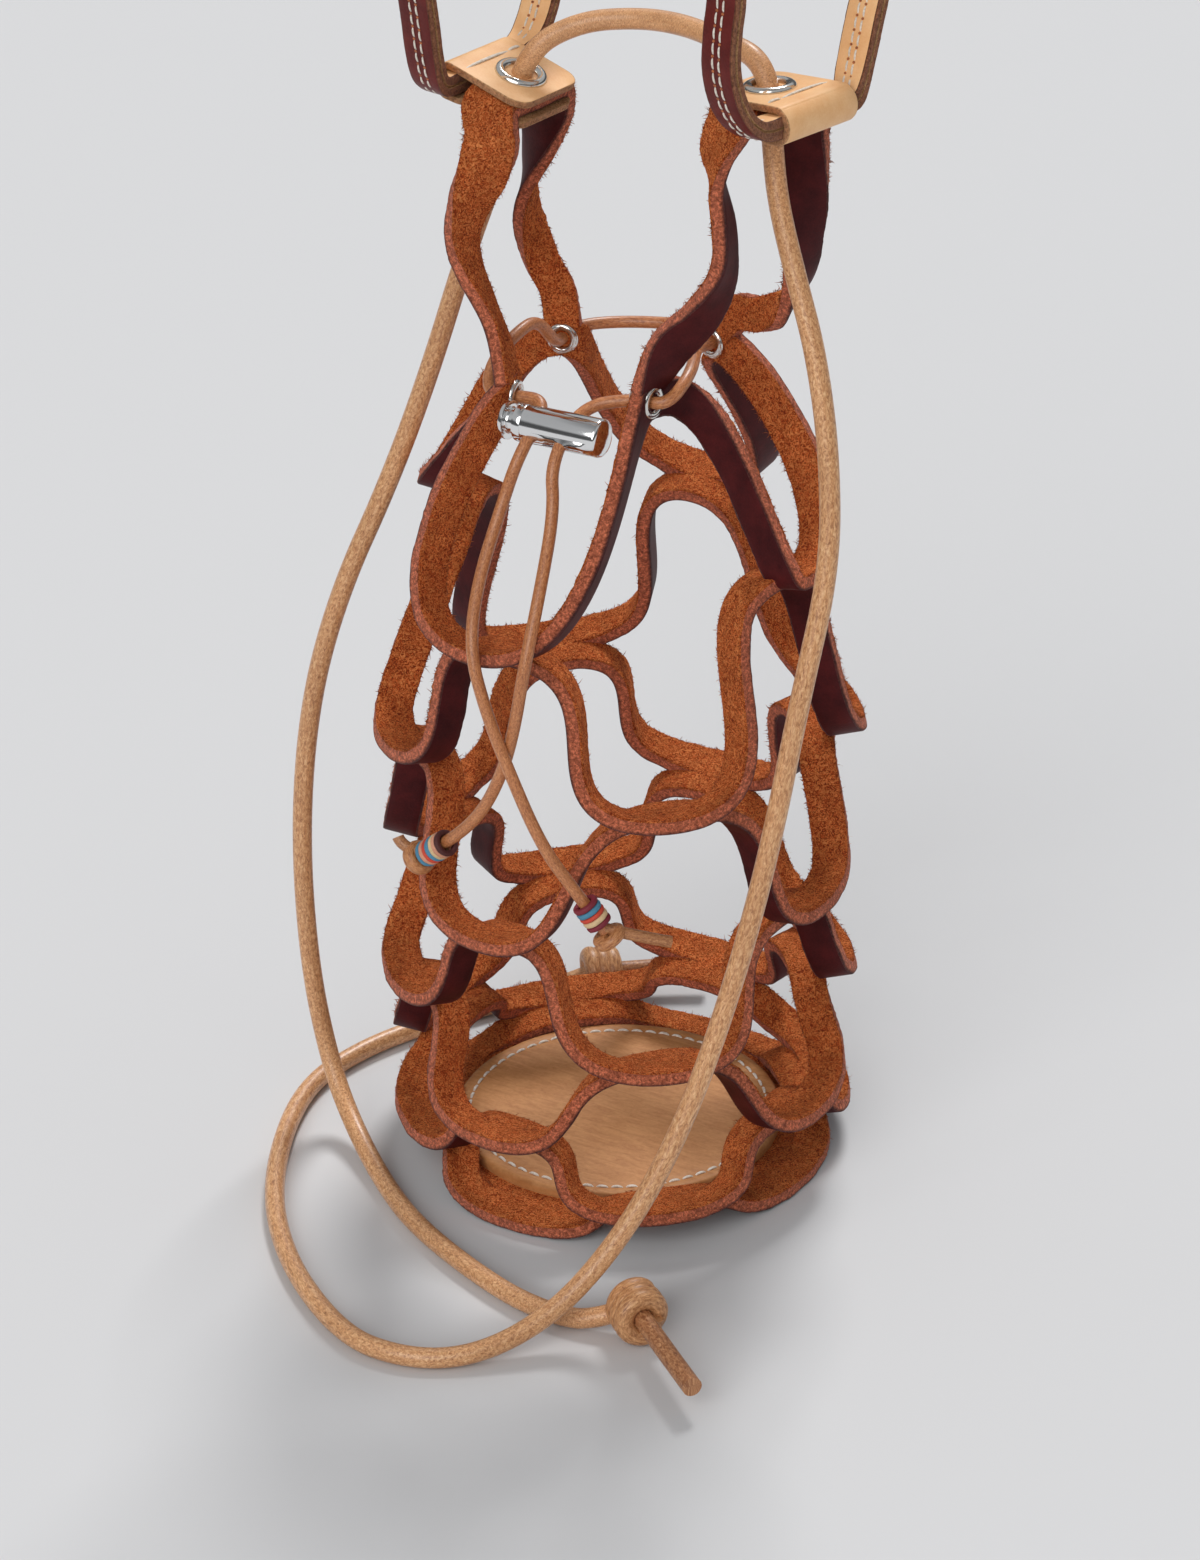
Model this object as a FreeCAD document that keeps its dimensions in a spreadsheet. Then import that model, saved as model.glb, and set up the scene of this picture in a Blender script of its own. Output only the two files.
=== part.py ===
import FreeCAD, Part
import os
import Sketcher
from math import cos, pi, radians, sin, tan
from FreeCAD import Placement, Rotation, Vector

os.makedirs("parts", exist_ok=True)
doc = FreeCAD.newDocument("leather_net_carrier")

# Driving sizes, millimetres and degrees
SIZES = [
    ("strip_width", 9.0),
    ("leather_thick", 3.7),
    ("joint_lap", 0.4),
    ("joint_tilt", 12.0),
    ("base_radius", 47.0),
    ("joint_radius", 51.3),
    ("plate_radius", 27.0),
    ("row_top_one", 10.0),
    ("row_top_two", 24.0),
    ("row_top_three", 50.0),
    ("row_top_four", 81.0),
    ("row_top_five", 117.0),
    ("row_top_six", 163.0),
    ("row_top_seven", 211.0),
    ("insert_inset", 4.6),
    ("insert_thick", 3.0),
    ("seam_inset", 3.6),
    ("thread_wide", 0.8),
    ("thread_high", 0.5),
    ("small_eyelet_bore", 2.1),
    ("small_eyelet_barrel", 2.6),
    ("small_eyelet_flange", 4.0),
    ("eyelet_sheet", 0.6),
    ("string_diameter", 3.0),
    ("strap_cord_diameter", 5.0),
    ("tab_thick", 1.7),
    ("tab_length", 20.8),
    ("tab_width", 24.0),
    ("tab_inner", 9.5),
    ("tab_eyelet_bore", 3.8),
    ("tab_eyelet_barrel", 4.3),
    ("tab_eyelet_flange", 6.3),
    ("tab_eyelet_sheet", 0.8),
    ("crown_width", 13.0),
    ("crown_offset", 1.2),
    ("left_tab_x", -23.3),
    ("left_tab_z", 278.2),
    ("left_tab_yaw", 174.0),
    ("left_tab_pitch", 18.0),
    ("right_tab_x", 43.3),
    ("right_tab_z", 284.4),
    ("right_tab_yaw", -13.0),
    ("right_tab_pitch", 4.0),
    ("rod_radius", 2.8),
    ("running_gap", 0.08),
    ("handle_width", 8.8),
    ("handle_layer", 1.8),
    ("handle_height", 108.0),
    ("left_handle_half", 26.5),
    ("right_handle_half", 24.5),
    ("handle_lean", 4.0),
    ("lock_x", 4.5),
    ("lock_y", -29.5),
    ("lock_z", 207.8),
    ("lock_radius", 4.6),
    ("lock_length", 23.0),
    ("lock_bore_radius", 3.2),
    ("lock_bore_depth", 20.0),
    ("lock_hole_radius", 2.3),
    ("lock_hole_first", 4.3),
    ("lock_hole_pitch", 8.5),
    ("lock_hole_dip", 30.0),
    ("plunger_shaft", 15.0),
    ("plunger_gap", 2.4),
    ("plunger_travel", 2.0),
    ("plunger_head_radius", 4.7),
    ("plunger_head_thick", 1.2),
    ("spring_wire", 0.6),
    ("bead_radius", 3.3),
    ("bead_gap", 0.25),
]
sheet = doc.addObject("Spreadsheet::Sheet", "Sizes")
for row, (alias, value) in enumerate(SIZES, start=1):
    sheet.set("A%d" % row, alias)
    sheet.set("B%d" % row, str(value))
    sheet.setAlias("B%d" % row, alias)
doc.recompute()


def size(alias):
    return float(sheet.get(alias))


def polar(angle, radius, height=0.0):
    return Vector(radius * cos(radians(angle)), radius * sin(radians(angle)), height)


finished = []
UP = Vector(0, 0, 1)
width = size("strip_width")
thick = size("leather_thick")
lap = size("joint_lap")
tilt = radians(size("joint_tilt"))


def keep(item, label, placement=None):
    item.Label = label
    if placement is not None:
        item.Placement = placement
    finished.append(item)
    return item


def shaped(label, shape):
    item = doc.addObject("Part::Feature", label)
    item.Shape = shape
    return keep(item, label)


# Sketch-and-pad bodies for round flat leather
def ring_body(label, outer, inner, height, placement):
    body = doc.addObject("PartDesign::Body", label)
    plane = next(f for f in body.Origin.OriginFeatures if f.Role == "XY_Plane")
    outline = body.newObject("Sketcher::SketchObject", label + "_outline")
    outline.AttachmentSupport = [(plane, "")]
    outline.MapMode = "FlatFace"
    for number, rule in enumerate(r for r in (outer, inner) if r):
        outline.addGeometry(Part.Circle(Vector(0, 0, 0), UP, 20 - 10 * number))
        outline.addConstraint(Sketcher.Constraint("Coincident", number, 3, -1, 1))
        held = outline.addConstraint(Sketcher.Constraint("Radius", number, 20.0 - 10 * number))
        outline.setExpression("Constraints[%d]" % held, rule)
    pad = body.newObject("PartDesign::Pad", label + "_pad")
    pad.Profile = outline
    pad.setExpression("Length", height)
    outline.Visibility = False
    return keep(body, label, placement)


# Primitives whose sizes are bound to the sheet
def solid(kind, label, place=(), turn=None, **rules):
    item = doc.addObject("Part::" + kind, label)
    for name, rule in rules.items():
        item.setExpression(name, rule)
    for axis, rule in zip("xyz", place):
        item.setExpression("Placement.Base." + axis, str(rule))
    if turn is not None:
        item.Placement = Placement(item.Placement.Base, turn)
    return item


def joined(label, pieces):
    item = doc.addObject("Part::MultiFuse", label)
    item.Shapes = pieces
    return item


def cut(label, base, tool):
    item = doc.addObject("Part::Cut", label)
    item.Base = base
    item.Tool = tool
    return item


# Flat leather disc under the load, tan insert and its seam
ring_body("base_disc", "Sizes.base_radius", None, "Sizes.leather_thick", Placement())
INSERT = "Sizes.base_radius - Sizes.insert_inset"
SEAM = "%s - Sizes.seam_inset" % INSERT
SEAM_OUTER = SEAM + " + Sizes.thread_wide / 2"
SEAM_INNER = SEAM + " - Sizes.thread_wide / 2"
SEAM_FOOT = "Sizes.leather_thick + Sizes.insert_thick - Sizes.thread_high"
disc = solid(
    "Cylinder",
    "insert_disc",
    (0, 0, "Sizes.leather_thick"),
    Radius=INSERT,
    Height="Sizes.insert_thick",
)
groove = cut(
    "seam_groove",
    solid("Cylinder", "groove_outer", (0, 0, SEAM_FOOT), Radius=SEAM_OUTER, Height="5"),
    solid("Cylinder", "groove_inner", (0, 0, SEAM_FOOT), Radius=SEAM_INNER, Height="5"),
)
keep(cut("base_insert", disc, groove), "base_insert")
in_groove = Placement(Vector(0, 0, thick + size("insert_thick") - size("thread_high")), Rotation())
ring_body("base_seam", SEAM_OUTER, SEAM_INNER, "Sizes.thread_high", in_groove)

# Joints of the slit net: seven levels of four, staggered by half a cell
LEVELS = [thick / 2] + [
    size("row_top_" + word) for word in ("one", "two", "three", "four", "five", "six", "seven")
]
# How each joint hangs: turn in degrees, rise and outward shift
HANG = {
    (1, 0): (-4, -1, 0.5),
    (1, 1): (-6, 0, 0.5),
    (1, 3): (0, 3, -2),
    (2, 0): (-4, 2, 0),
    (2, 1): (-3, -1, 0.5),
    (3, 0): (-1, -1, 0),
    (3, 1): (-3, -3, 1.5),
    (3, 3): (2, 5, 0),
    (4, 0): (-3, 1.2, 0.5),
    (4, 1): (-2, 0, 0.5),
    (5, 0): (-1, 1, 0),
    (5, 1): (-3, -1, 3),
    (5, 3): (3, 5, 0),
    (6, 0): (-4, -4, 0),
    (6, 1): (-8, 8, -1),
    (6, 2): (0, 4, -4),
    (6, 3): (12, 16, -12),
    (7, 0): (4, 3, 0),
    (7, 1): (10, 3, 2),
    (7, 2): (8, 0, 0),
    (7, 3): (14, 0, 0),
}
# Flat run of each row at its bottom and its top, as a share of half a cell
RUNS = [(0.8, 0.7), (0.95, 0.75), (1.0, 0.8), (1.05, 0.85), (1.05, 0.85), (1.1, 0.9)]
# Halves that hang more slanted: row, cell and side
LEANS = {
    (2, 0, 1): (0.8, 0.75),
    (3, 0, 1): (0.65, 0.8),
    (3, 1, -1): (0.7, 0.8),
    (4, 0, -1): (0.95, 0.62),
    (4, 0, 1): (0.8, 0.85),
    (5, 0, 1): (0.6, 0.75),
    (5, 1, -1): (0.7, 1.1),
    (6, 0, -1): (0.92, 0.95),
}
# Direction that the flesh side of each top plate faces
FACING = [174, 255, 285, 8]
# Flat run of a top strip at its bottom and at its plate, for front and back cells and for side halves
TOP_RUN = (36.0, 9.0)
SIDE_RUNS = {(1, -1): (9.0, 33.0), (1, 1): (30.0, 15.0), (3, -1): (30.0, 15.0), (3, 1): (20.0, 22.0)}
STEPS = 8


def joint(level, cell):
    turn, rise, outward = HANG.get((level, cell % 4), (0, 0, 0))
    first = -90 if level % 2 == 0 else -45
    radius = size("base_radius") if level == 0 else size("joint_radius")
    if level == 7:
        radius = size("plate_radius")
    return Vector(first + 90 * cell + turn, LEVELS[level] + rise, radius + outward)


def bezier(a, b, c, d, u):
    v = 1 - u
    return a * (v * v * v) + b * (3 * u * v * v) + c * (3 * u * u * v) + d * (u * u * u)


def half_strip(row, cell, side):
    low = joint(row - 1, cell)
    other = cell + (side - 1) // 2 if row % 2 else cell + (side + 1) // 2
    high = joint(row, other)
    offset = (width - lap) / 2
    low_tilt = 0 if row == 1 else tilt
    low_radius = low.z + offset * cos(low_tilt)
    high_height = high.y - 2 * offset * sin(tilt)
    points = []
    for step in range(STEPS + 1):
        u = step / STEPS
        ease = u * u * (3 - 2 * u)
        if row < 7:
            low_run, high_run = LEANS.get((row, cell, side), RUNS[row - 1])
            reach = high.x - low.x
            flat = bezier(
                Vector(low.x, low.y),
                Vector(low.x + low_run * reach, low.y),
                Vector(high.x - high_run * reach, high_height),
                Vector(high.x, high_height),
                u,
            )
            inward = ease * ease if row == 1 else ease
            radius = low_radius + (high.z - offset * cos(tilt) - low_radius) * inward
            lean = low_tilt + (tilt - low_tilt) * ease
            points.append((polar(flat.x, radius, flat.y), polar(flat.x, cos(lean), sin(lean))))
        else:
            foot = polar(low.x, low_radius, low.y)
            plate = polar(high.x, high.z, high.y)
            along = polar(FACING[other % 4] - 90, 1)
            cell_run, plate_run = SIDE_RUNS.get((cell, side), TOP_RUN)
            spot = bezier(
                foot,
                foot + polar(low.x + 90, side * cell_run),
                plate - along * (side * plate_run),
                plate,
                u,
            )
            lie = Vector(spot.x, spot.y, 0).normalize()
            lean = low_tilt + (pi / 2 - low_tilt) * ease
            points.append((spot, lie * cos(lean) + UP * sin(lean)))
    return points


def section(centre, across, through, wide, deep):
    a = across * (wide / 2)
    b = through * (deep / 2)
    corners = [centre + a + b, centre - a + b, centre - a - b, centre + a - b]
    return Part.makePolygon(corners + [corners[0]])


def ribbon(points, wide):
    wires = []
    for number, (centre, lie) in enumerate(points):
        before = points[max(number - 1, 0)][0]
        after = points[min(number + 1, len(points) - 1)][0]
        along = (after - before).normalize()
        across = (lie - along * lie.dot(along)).normalize()
        wires.append(section(centre, across, along.cross(across), wide, thick))
    return Part.makeLoft(wires, True, True)


def strip(row, cell):
    left = half_strip(row, cell, -1)
    right = half_strip(row, cell, 1)
    return ribbon(left[::-1] + right[1:], width)


def plate_frame(cell):
    spot = joint(7, cell)
    return polar(spot.x, spot.z, spot.y), polar(FACING[cell], 1)


def eyelet_drill(cell, radius):
    centre, inward = plate_frame(cell)
    return Part.makeCylinder(radius, 14, centre - inward * 7, inward)


for row in range(1, 8):
    cells = [strip(row, cell) for cell in range(4)]
    if row == 7:
        hole = size("small_eyelet_barrel")
        drills = [eyelet_drill(cell, hole) for cell in range(4)]
        cells = [cell.cut(drills) for cell in cells]
    shaped("net_row_%d" % row, Part.makeCompound(cells))

# Small eyelets through the four top plates
sheet_gap = "Sizes.leather_thick / 2"
for cell in range(4):
    name = "string_eyelet_%d" % (cell + 1)
    barrel = solid(
        "Cylinder",
        name + "_barrel",
        (0, 0, "-Sizes.leather_thick / 2"),
        Radius="Sizes.small_eyelet_barrel",
        Height="Sizes.leather_thick",
    )
    rims = [
        solid("Cylinder", name + "_rim_in", (0, 0, sheet_gap)),
        solid("Cylinder", name + "_rim_out", (0, 0, "-Sizes.leather_thick / 2 - Sizes.eyelet_sheet")),
    ]
    for rim in rims:
        rim.setExpression("Radius", "Sizes.small_eyelet_flange")
        rim.setExpression("Height", "Sizes.eyelet_sheet")
    bore = solid(
        "Cylinder",
        name + "_bore",
        (0, 0, -10),
        Radius="Sizes.small_eyelet_bore",
        Height="20",
    )
    centre, inward = plate_frame(cell)
    whole = cut(name, joined(name + "_metal", [barrel] + rims), bore)
    keep(whole, name, Placement(centre, Rotation(UP, inward)))


# Tab frames: x outward, y along the sleeve, z up
def tab_frame(side):
    yaw = Rotation(UP, size(side + "_tab_yaw"))
    pitch = Rotation(Vector(0, 1, 0), -size(side + "_tab_pitch"))
    return Placement(Vector(size(side + "_tab_x"), 0, size(side + "_tab_z")), yaw.multiply(pitch))


# Hoop legs from plate to crown: x, y, share of the height, facing of the flesh side, width
LEGS = {
    ("left", "front"): [
        (-18.0, -19.5, 0.17, 8, 8.6),
        (-23.8, -16.4, 0.28, 8, 8.4),
        (-28.6, -15.2, 0.39, 2, 8.8),
        (-30.4, -14.9, 0.50, -10, 9.4),
        (-28.6, -14.6, 0.62, -30, 10.4),
        (-24.8, -14.1, 0.75, -60, 12.0),
        (-22.4, -13.8, 0.87, -85, 13.0),
    ],
    ("left", "back"): [
        (-23.6, 16.8, 0.17, -60, 8.6),
        (-27.6, 16.4, 0.28, -38, 8.4),
        (-30.0, 15.6, 0.39, -12, 8.8),
        (-30.6, 15.0, 0.50, 12, 9.4),
        (-29.0, 14.6, 0.62, 35, 10.4),
        (-26.0, 14.2, 0.75, 62, 12.0),
        (-23.4, 13.8, 0.87, 85, 13.0),
    ],
    ("right", "front"): [
        (25.8, -16.0, 0.19, 144, 10.4),
        (32.4, -14.4, 0.30, 148, 9.8),
        (37.2, -13.6, 0.42, 166, 9.2),
        (39.0, -13.6, 0.53, 186, 8.6),
        (38.6, -13.6, 0.64, 192, 8.6),
        (37.0, -13.6, 0.76, 206, 9.0),
        (37.0, -13.6, 0.87, 238, 10.4),
    ],
    ("right", "back"): [
        (23.4, 22.0, 0.13, 240, 8.6),
        (31.0, 20.2, 0.15, 216, 8.4),
        (38.0, 18.4, 0.21, 192, 8.8),
        (42.4, 16.8, 0.33, 172, 9.4),
        (43.8, 15.6, 0.48, 150, 10.4),
        (44.0, 14.8, 0.64, 120, 12.0),
        (44.0, 14.0, 0.81, 95, 13.0),
    ],
}
PLATES = {("left", "front"): 3, ("left", "back"): 2, ("right", "front"): 0, ("right", "back"): 1}


def smooth(values, spans):
    out = []
    for number in range(len(values) - 1):
        a = values[max(number - 1, 0)]
        b = values[number]
        c = values[number + 1]
        d = values[min(number + 2, len(values) - 1)]
        for step in range(spans):
            u = step / spans
            curve = (a * 2 - b * 5 + c * 4 - d) * (u * u) + (b * 3 - a - c * 3 + d) * (u * u * u)
            out.append((b * 2 + (c - a) * u + curve) * 0.5)
    out.append(values[-1])
    return out


def hoop(side):
    frame = tab_frame(side)
    out = -size("crown_offset")
    edge = size("tab_width") / 2
    crown = [(out, -edge * 0.98, -1.4, 42), (out, -edge * 0.72, 0, 90), (out, 0, 0, 90)]
    keys = []
    for end in ("front", "back"):
        centre, inward = plate_frame(PLATES[(side, end)])
        start = centre + UP * (width / 2 - lap)
        rise = size(side + "_tab_z") - centre.z
        leg = [(start, inward, width)]
        for x, y, share, facing, wide in LEGS[(side, end)]:
            leg.append((Vector(x, y, centre.z + share * rise), polar(facing, 1), wide))
        sense = 1 if (side == "right") == (end == "front") else -1
        for x, y, z, lift in crown[: 3 if end == "front" else 2]:
            spot = frame.multVec(Vector(x, sense * y, z))
            face = Vector(0, -sense * cos(radians(lift)), sin(radians(lift)))
            leg.append((spot, frame.Rotation.multVec(face), size("crown_width")))
        keys = keys + leg if end == "front" else keys + leg[::-1]
    centres = smooth([key[0] for key in keys], 2)
    faces = smooth([key[1] for key in keys], 2)
    wides = smooth([key[2] for key in keys], 2)
    wires = []
    for number, centre in enumerate(centres):
        before = centres[max(number - 1, 0)]
        after = centres[min(number + 1, len(centres) - 1)]
        along = (after - before).normalize()
        face = (faces[number] - along * faces[number].dot(along)).normalize()
        wires.append(section(centre, face.cross(along), face, wides[number], thick))
    drills = [Part.makeCylinder(size("tab_eyelet_barrel"), 20)]
    drills[0].Placement = frame.multiply(Placement(Vector(0, 0, -10), Rotation(UP, 45)))
    for end in ("front", "back"):
        drills.append(eyelet_drill(PLATES[(side, end)], size("small_eyelet_flange")))
    return Part.makeLoft(wires, True, True).cut(drills)


for side in ("left", "right"):
    shaped(side + "_hoop", hoop(side))


# Folded tabs: two layers over the hoop crown, rolled into a sleeve round the handle rod
SLEEVE_BORE = "(Sizes.rod_radius + Sizes.running_gap)"
SLEEVE_X = "(Sizes.tab_length - Sizes.tab_inner)"
SLEEVE_Z = "(Sizes.leather_thick / 2 - %s)" % SLEEVE_BORE
sleeve_x = size("tab_length") - size("tab_inner")
sleeve_z = thick / 2 - size("rod_radius") - size("running_gap")
lying = Rotation(Vector(1, 0, 0), -90)
for side in ("left", "right"):
    frame = tab_frame(side)
    name = side + "_tab"
    half = "-Sizes.tab_width / 2"
    layers = [
        solid(
            "Box",
            name + "_top_layer",
            ("-Sizes.tab_inner", half, sheet_gap),
            Length="Sizes.tab_length",
            Width="Sizes.tab_width",
            Height="Sizes.tab_thick",
        ),
        solid(
            "Box",
            name + "_under_layer",
            ("-Sizes.tab_inner", half, "-Sizes.leather_thick / 2 - Sizes.tab_thick"),
            Length="Sizes.tab_length - " + SLEEVE_BORE,
            Width="Sizes.tab_width",
            Height="Sizes.tab_thick",
        ),
        solid(
            "Cylinder",
            name + "_roll",
            (SLEEVE_X, half, SLEEVE_Z),
            lying,
            Radius=SLEEVE_BORE + " + Sizes.tab_thick",
            Height="Sizes.tab_width",
        ),
    ]
    voids = [
        solid(
            "Cylinder",
            name + "_rod_way",
            (SLEEVE_X, "-Sizes.tab_width", SLEEVE_Z),
            lying,
            Radius=SLEEVE_BORE,
            Height="Sizes.tab_width * 2",
        ),
        solid(
            "Cylinder",
            name + "_eyelet_way",
            (0, 0, -20),
            Radius="Sizes.tab_eyelet_barrel",
            Height="40",
        ),
    ]
    leather = joined(name + "_leather", layers)
    keep(cut(name, leather, joined(name + "_voids", voids)), name, frame)

    # Large eyelet, its washer and the stitch by the fold
    metal = [
        solid(
            "Cylinder",
            name + "_eyelet_barrel",
            (0, 0, "-Sizes.leather_thick / 2 - Sizes.tab_thick - Sizes.tab_eyelet_sheet"),
            Radius="Sizes.tab_eyelet_barrel",
            Height="Sizes.leather_thick + 2 * Sizes.tab_thick + Sizes.tab_eyelet_sheet",
        ),
        solid(
            "Cylinder",
            name + "_eyelet_rim",
            (0, 0, "Sizes.leather_thick / 2 + Sizes.tab_thick"),
            Radius="Sizes.tab_eyelet_flange",
            Height="Sizes.tab_eyelet_sheet",
        ),
    ]
    bore = solid("Cylinder", name + "_eyelet_bore", (0, 0, -20), Radius="Sizes.tab_eyelet_bore", Height="40")
    keep(cut(name + "_eyelet", joined(name + "_eyelet_metal", metal), bore), name + "_eyelet", frame)
    under = Vector(0, 0, -thick / 2 - size("tab_thick") - size("tab_eyelet_sheet"))
    ring_body(
        name + "_washer",
        "Sizes.tab_eyelet_flange",
        "Sizes.tab_eyelet_barrel",
        "Sizes.tab_eyelet_sheet",
        frame.multiply(Placement(under, Rotation())),
    )
    thread = solid(
        "Box",
        name + "_thread",
        Length="Sizes.thread_wide",
        Width="Sizes.tab_width - 5",
        Height="Sizes.thread_high",
    )
    seat = Vector(size("tab_eyelet_flange") + 0.4, 2.5 - size("tab_width") / 2, thick / 2 + size("tab_thick"))
    keep(thread, name + "_thread", frame.multiply(Placement(seat, Rotation())))

# Handle loops: a round rod in the sleeve that widens into a two-layer strap
# Each leg from the sleeve up: share of the spread beyond the sleeve, share of the height, share of the width
HANDLE_LEGS = {
    ("left", "front"): [
        (0.25, 0.006, 0.74),
        (0.46, 0.028, 0.92),
        (0.62, 0.08, 1.0),
        (0.78, 0.17, 1.0),
        (0.94, 0.26, 1.0),
        (1.0, 0.333, 1.0),
    ],
    ("left", "back"): [
        (0.2, 0.01, 0.72),
        (0.486, 0.032, 0.92),
        (0.75, 0.088, 1.0),
        (0.93, 0.176, 1.0),
        (1.0, 0.287, 1.0),
    ],
    ("right", "front"): [
        (0.29, 0.003, 0.72),
        (0.625, 0.015, 0.9),
        (0.96, 0.046, 1.0),
        (1.21, 0.097, 1.0),
        (1.31, 0.162, 1.0),
        (1.22, 0.23, 1.0),
        (1.06, 0.305, 1.0),
    ],
    ("right", "back"): [
        (0.167, 0.0075, 0.72),
        (0.27, 0.04, 0.92),
        (0.46, 0.094, 1.0),
        (0.68, 0.154, 1.0),
        (0.9, 0.214, 1.0),
        (1.0, 0.29, 1.0),
    ],
}
# Top of each loop: share of the half width, share of the height
HANDLE_TOP = [(1.0, 0.46), (0.96, 0.64), (0.86, 0.80), (0.66, 0.92), (0.36, 0.985), (0.0, 1.0)]


def handle_keys(side, end):
    half = size("tab_width") / 2 + 0.5
    widest = size(side + "_handle_half")
    height = size("handle_height")
    sense = 1 if (side == "left") == (end == "front") else -1
    keys = [(Vector(0, sense * half, 0), 0.52)]
    for out, rise, wide in HANDLE_LEGS[(side, end)]:
        keys.append((Vector(0, sense * (half + (widest - half) * out), height * rise), wide))
    for out, rise in HANDLE_TOP:
        keys.append((Vector(0, sense * widest * out, height * rise), 1.0))
    return keys


def handle_layer(side, sense):
    half = size("tab_width") / 2 + 0.5
    layer = size("handle_layer")
    ends = ("front", "back") if side == "left" else ("back", "front")
    keys = handle_keys(side, ends[0]) + handle_keys(side, ends[1])[-2::-1]
    spots = smooth([key[0] for key in keys], 2)
    wides = smooth([key[1] for key in keys], 2)
    wires = []
    for number, spot in enumerate(spots):
        before = spots[max(number - 1, 0)]
        after = spots[min(number + 1, len(spots) - 1)]
        along = (after - before).normalize()
        if number in (0, len(spots) - 1):
            along = Vector(0, 1, 0)
        outside = along.cross(Vector(1, 0, 0))
        if number == len(spots) - 1:
            outside = Vector(0, 0, -1)
        centre = spot + outside * (sense * layer / 2)
        wires.append(section(centre, Vector(1, 0, 0), outside, size("handle_width") * wides[number], layer))
    loop = Part.makeLoft(wires, True, True)
    rod = Part.makeCylinder(size("rod_radius"), 2 * half + 0.4, Vector(0, -half - 0.2, 0), Vector(0, 1, 0))
    slab = Part.makeBox(20, 60, 10, Vector(-10, -30, -10 if sense > 0 else 0))
    return loop.fuse(rod.common(slab)).removeSplitter()


for side in ("left", "right"):
    lean = Rotation(Vector(0, 1, 0), size(side + "_tab_pitch") - size("handle_lean"))
    rod_frame = tab_frame(side).multiply(Placement(Vector(sleeve_x, 0, sleeve_z), lean))
    for layer, sense in (("outer", 1), ("lining", -1)):
        item = shaped("%s_handle_%s" % (side, layer), handle_layer(side, sense))
        item.Placement = rod_frame

# Cord lock: barrel, plunger and spring on the lock's own axis, x from the open end
lock_frame = Placement(Vector(size("lock_x"), size("lock_y"), size("lock_z")), Rotation())
open_end = "-Sizes.lock_length / 2"
endwise = Rotation(Vector(0, 1, 0), 90)
dip = Rotation(Vector(1, 0, 0), 90 + size("lock_hole_dip"))
hole_dir = dip.multVec(UP)


def lock_holes(name, radius, shifts):
    holes = []
    for number in (0, 1):
        along = -size("lock_length") / 2 + size("lock_hole_first") + number * size("lock_hole_pitch")
        for shift in shifts:
            hole = solid("Cylinder", "%s_hole" % name, Radius=radius, Height="40")
            hole.Placement = Placement(Vector(along - shift, 0, 0) - hole_dir * 20, dip)
            holes.append(hole)
    return holes


barrel = solid(
    "Cylinder",
    "lock_tube",
    (open_end, 0, 0),
    endwise,
    Radius="Sizes.lock_radius",
    Height="Sizes.lock_length",
)
bore = solid(
    "Cylinder",
    "lock_bore",
    (open_end, 0, 0),
    endwise,
    Radius="Sizes.lock_bore_radius",
    Height="Sizes.lock_bore_depth",
)
lock_voids = joined("lock_voids", [bore] + lock_holes("lock", "Sizes.lock_hole_radius", [0]))
keep(cut("lock_barrel", barrel, lock_voids), "lock_barrel", lock_frame)
shaft = solid(
    "Cylinder",
    "plunger_shaft_metal",
    (open_end + " - Sizes.plunger_gap", 0, 0),
    endwise,
    Radius="Sizes.lock_bore_radius - Sizes.running_gap",
    Height="Sizes.plunger_shaft + Sizes.plunger_gap",
)
head = solid(
    "Cylinder",
    "plunger_head_metal",
    (open_end + " - Sizes.plunger_gap - Sizes.plunger_head_thick", 0, 0),
    endwise,
    Radius="Sizes.plunger_head_radius",
    Height="Sizes.plunger_head_thick",
)
plunger_metal = joined("plunger_metal", [shaft, head])
press_steps = [size("plunger_travel") * step / 4 for step in range(5)]
plunger_voids = joined("plunger_voids", lock_holes("plunger", "Sizes.lock_hole_radius - 0.5", press_steps))
keep(cut("lock_plunger", plunger_metal, plunger_voids), "lock_plunger", lock_frame)


# Cords: straight runs joined by tangent arcs
def cord_route(points):
    edges = []
    last = points[0]
    tight = 1e9
    for a, b, c in zip(points, points[1:], points[2:]):
        into = (b - a).normalize()
        away = (c - b).normalize()
        half_turn = into.getAngle(away) / 2
        reach = 0.45 * min((b - a).Length, (c - b).Length)
        tight = min(tight, reach / tan(half_turn))
        enter = b - into * reach
        leave = b + away * reach
        bow = reach / tan(half_turn) * (1 / cos(half_turn) - 1)
        middle = b + (away - into).normalize() * bow
        edges.append(Part.LineSegment(last, enter).toShape())
        edges.append(Part.Arc(enter, middle, leave).toShape())
        last = leave
    edges.append(Part.LineSegment(last, points[-1]).toShape())
    return Part.Wire(edges), tight


def cord(label, points, diameter):
    route, tight = cord_route(points)
    first = (points[1] - points[0]).normalize()
    ring = Part.Wire(Part.makeCircle(diameter / 2, points[0], first))
    tube = route.makePipeShell([ring], True, False)
    full = pi * diameter * diameter / 4 * route.Length
    share = tube.Volume / full
    print("%s length %.1f least radius %.1f volume share %.4f" % (label, route.Length, tight, share))
    return tube


def knot(label, centre, axis, diameter, turns, tail):
    shape = cord(label + "_tail", [centre - axis * (diameter * 0.4)] + tail, diameter)
    for number in range(turns):
        spot = centre + axis * (diameter * 0.84 * (number - (turns - 1) / 2))
        shape = shape.fuse(Part.makeTorus(diameter * 0.94, diameter / 2, spot, axis))
    shaped(label, shape)


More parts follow.
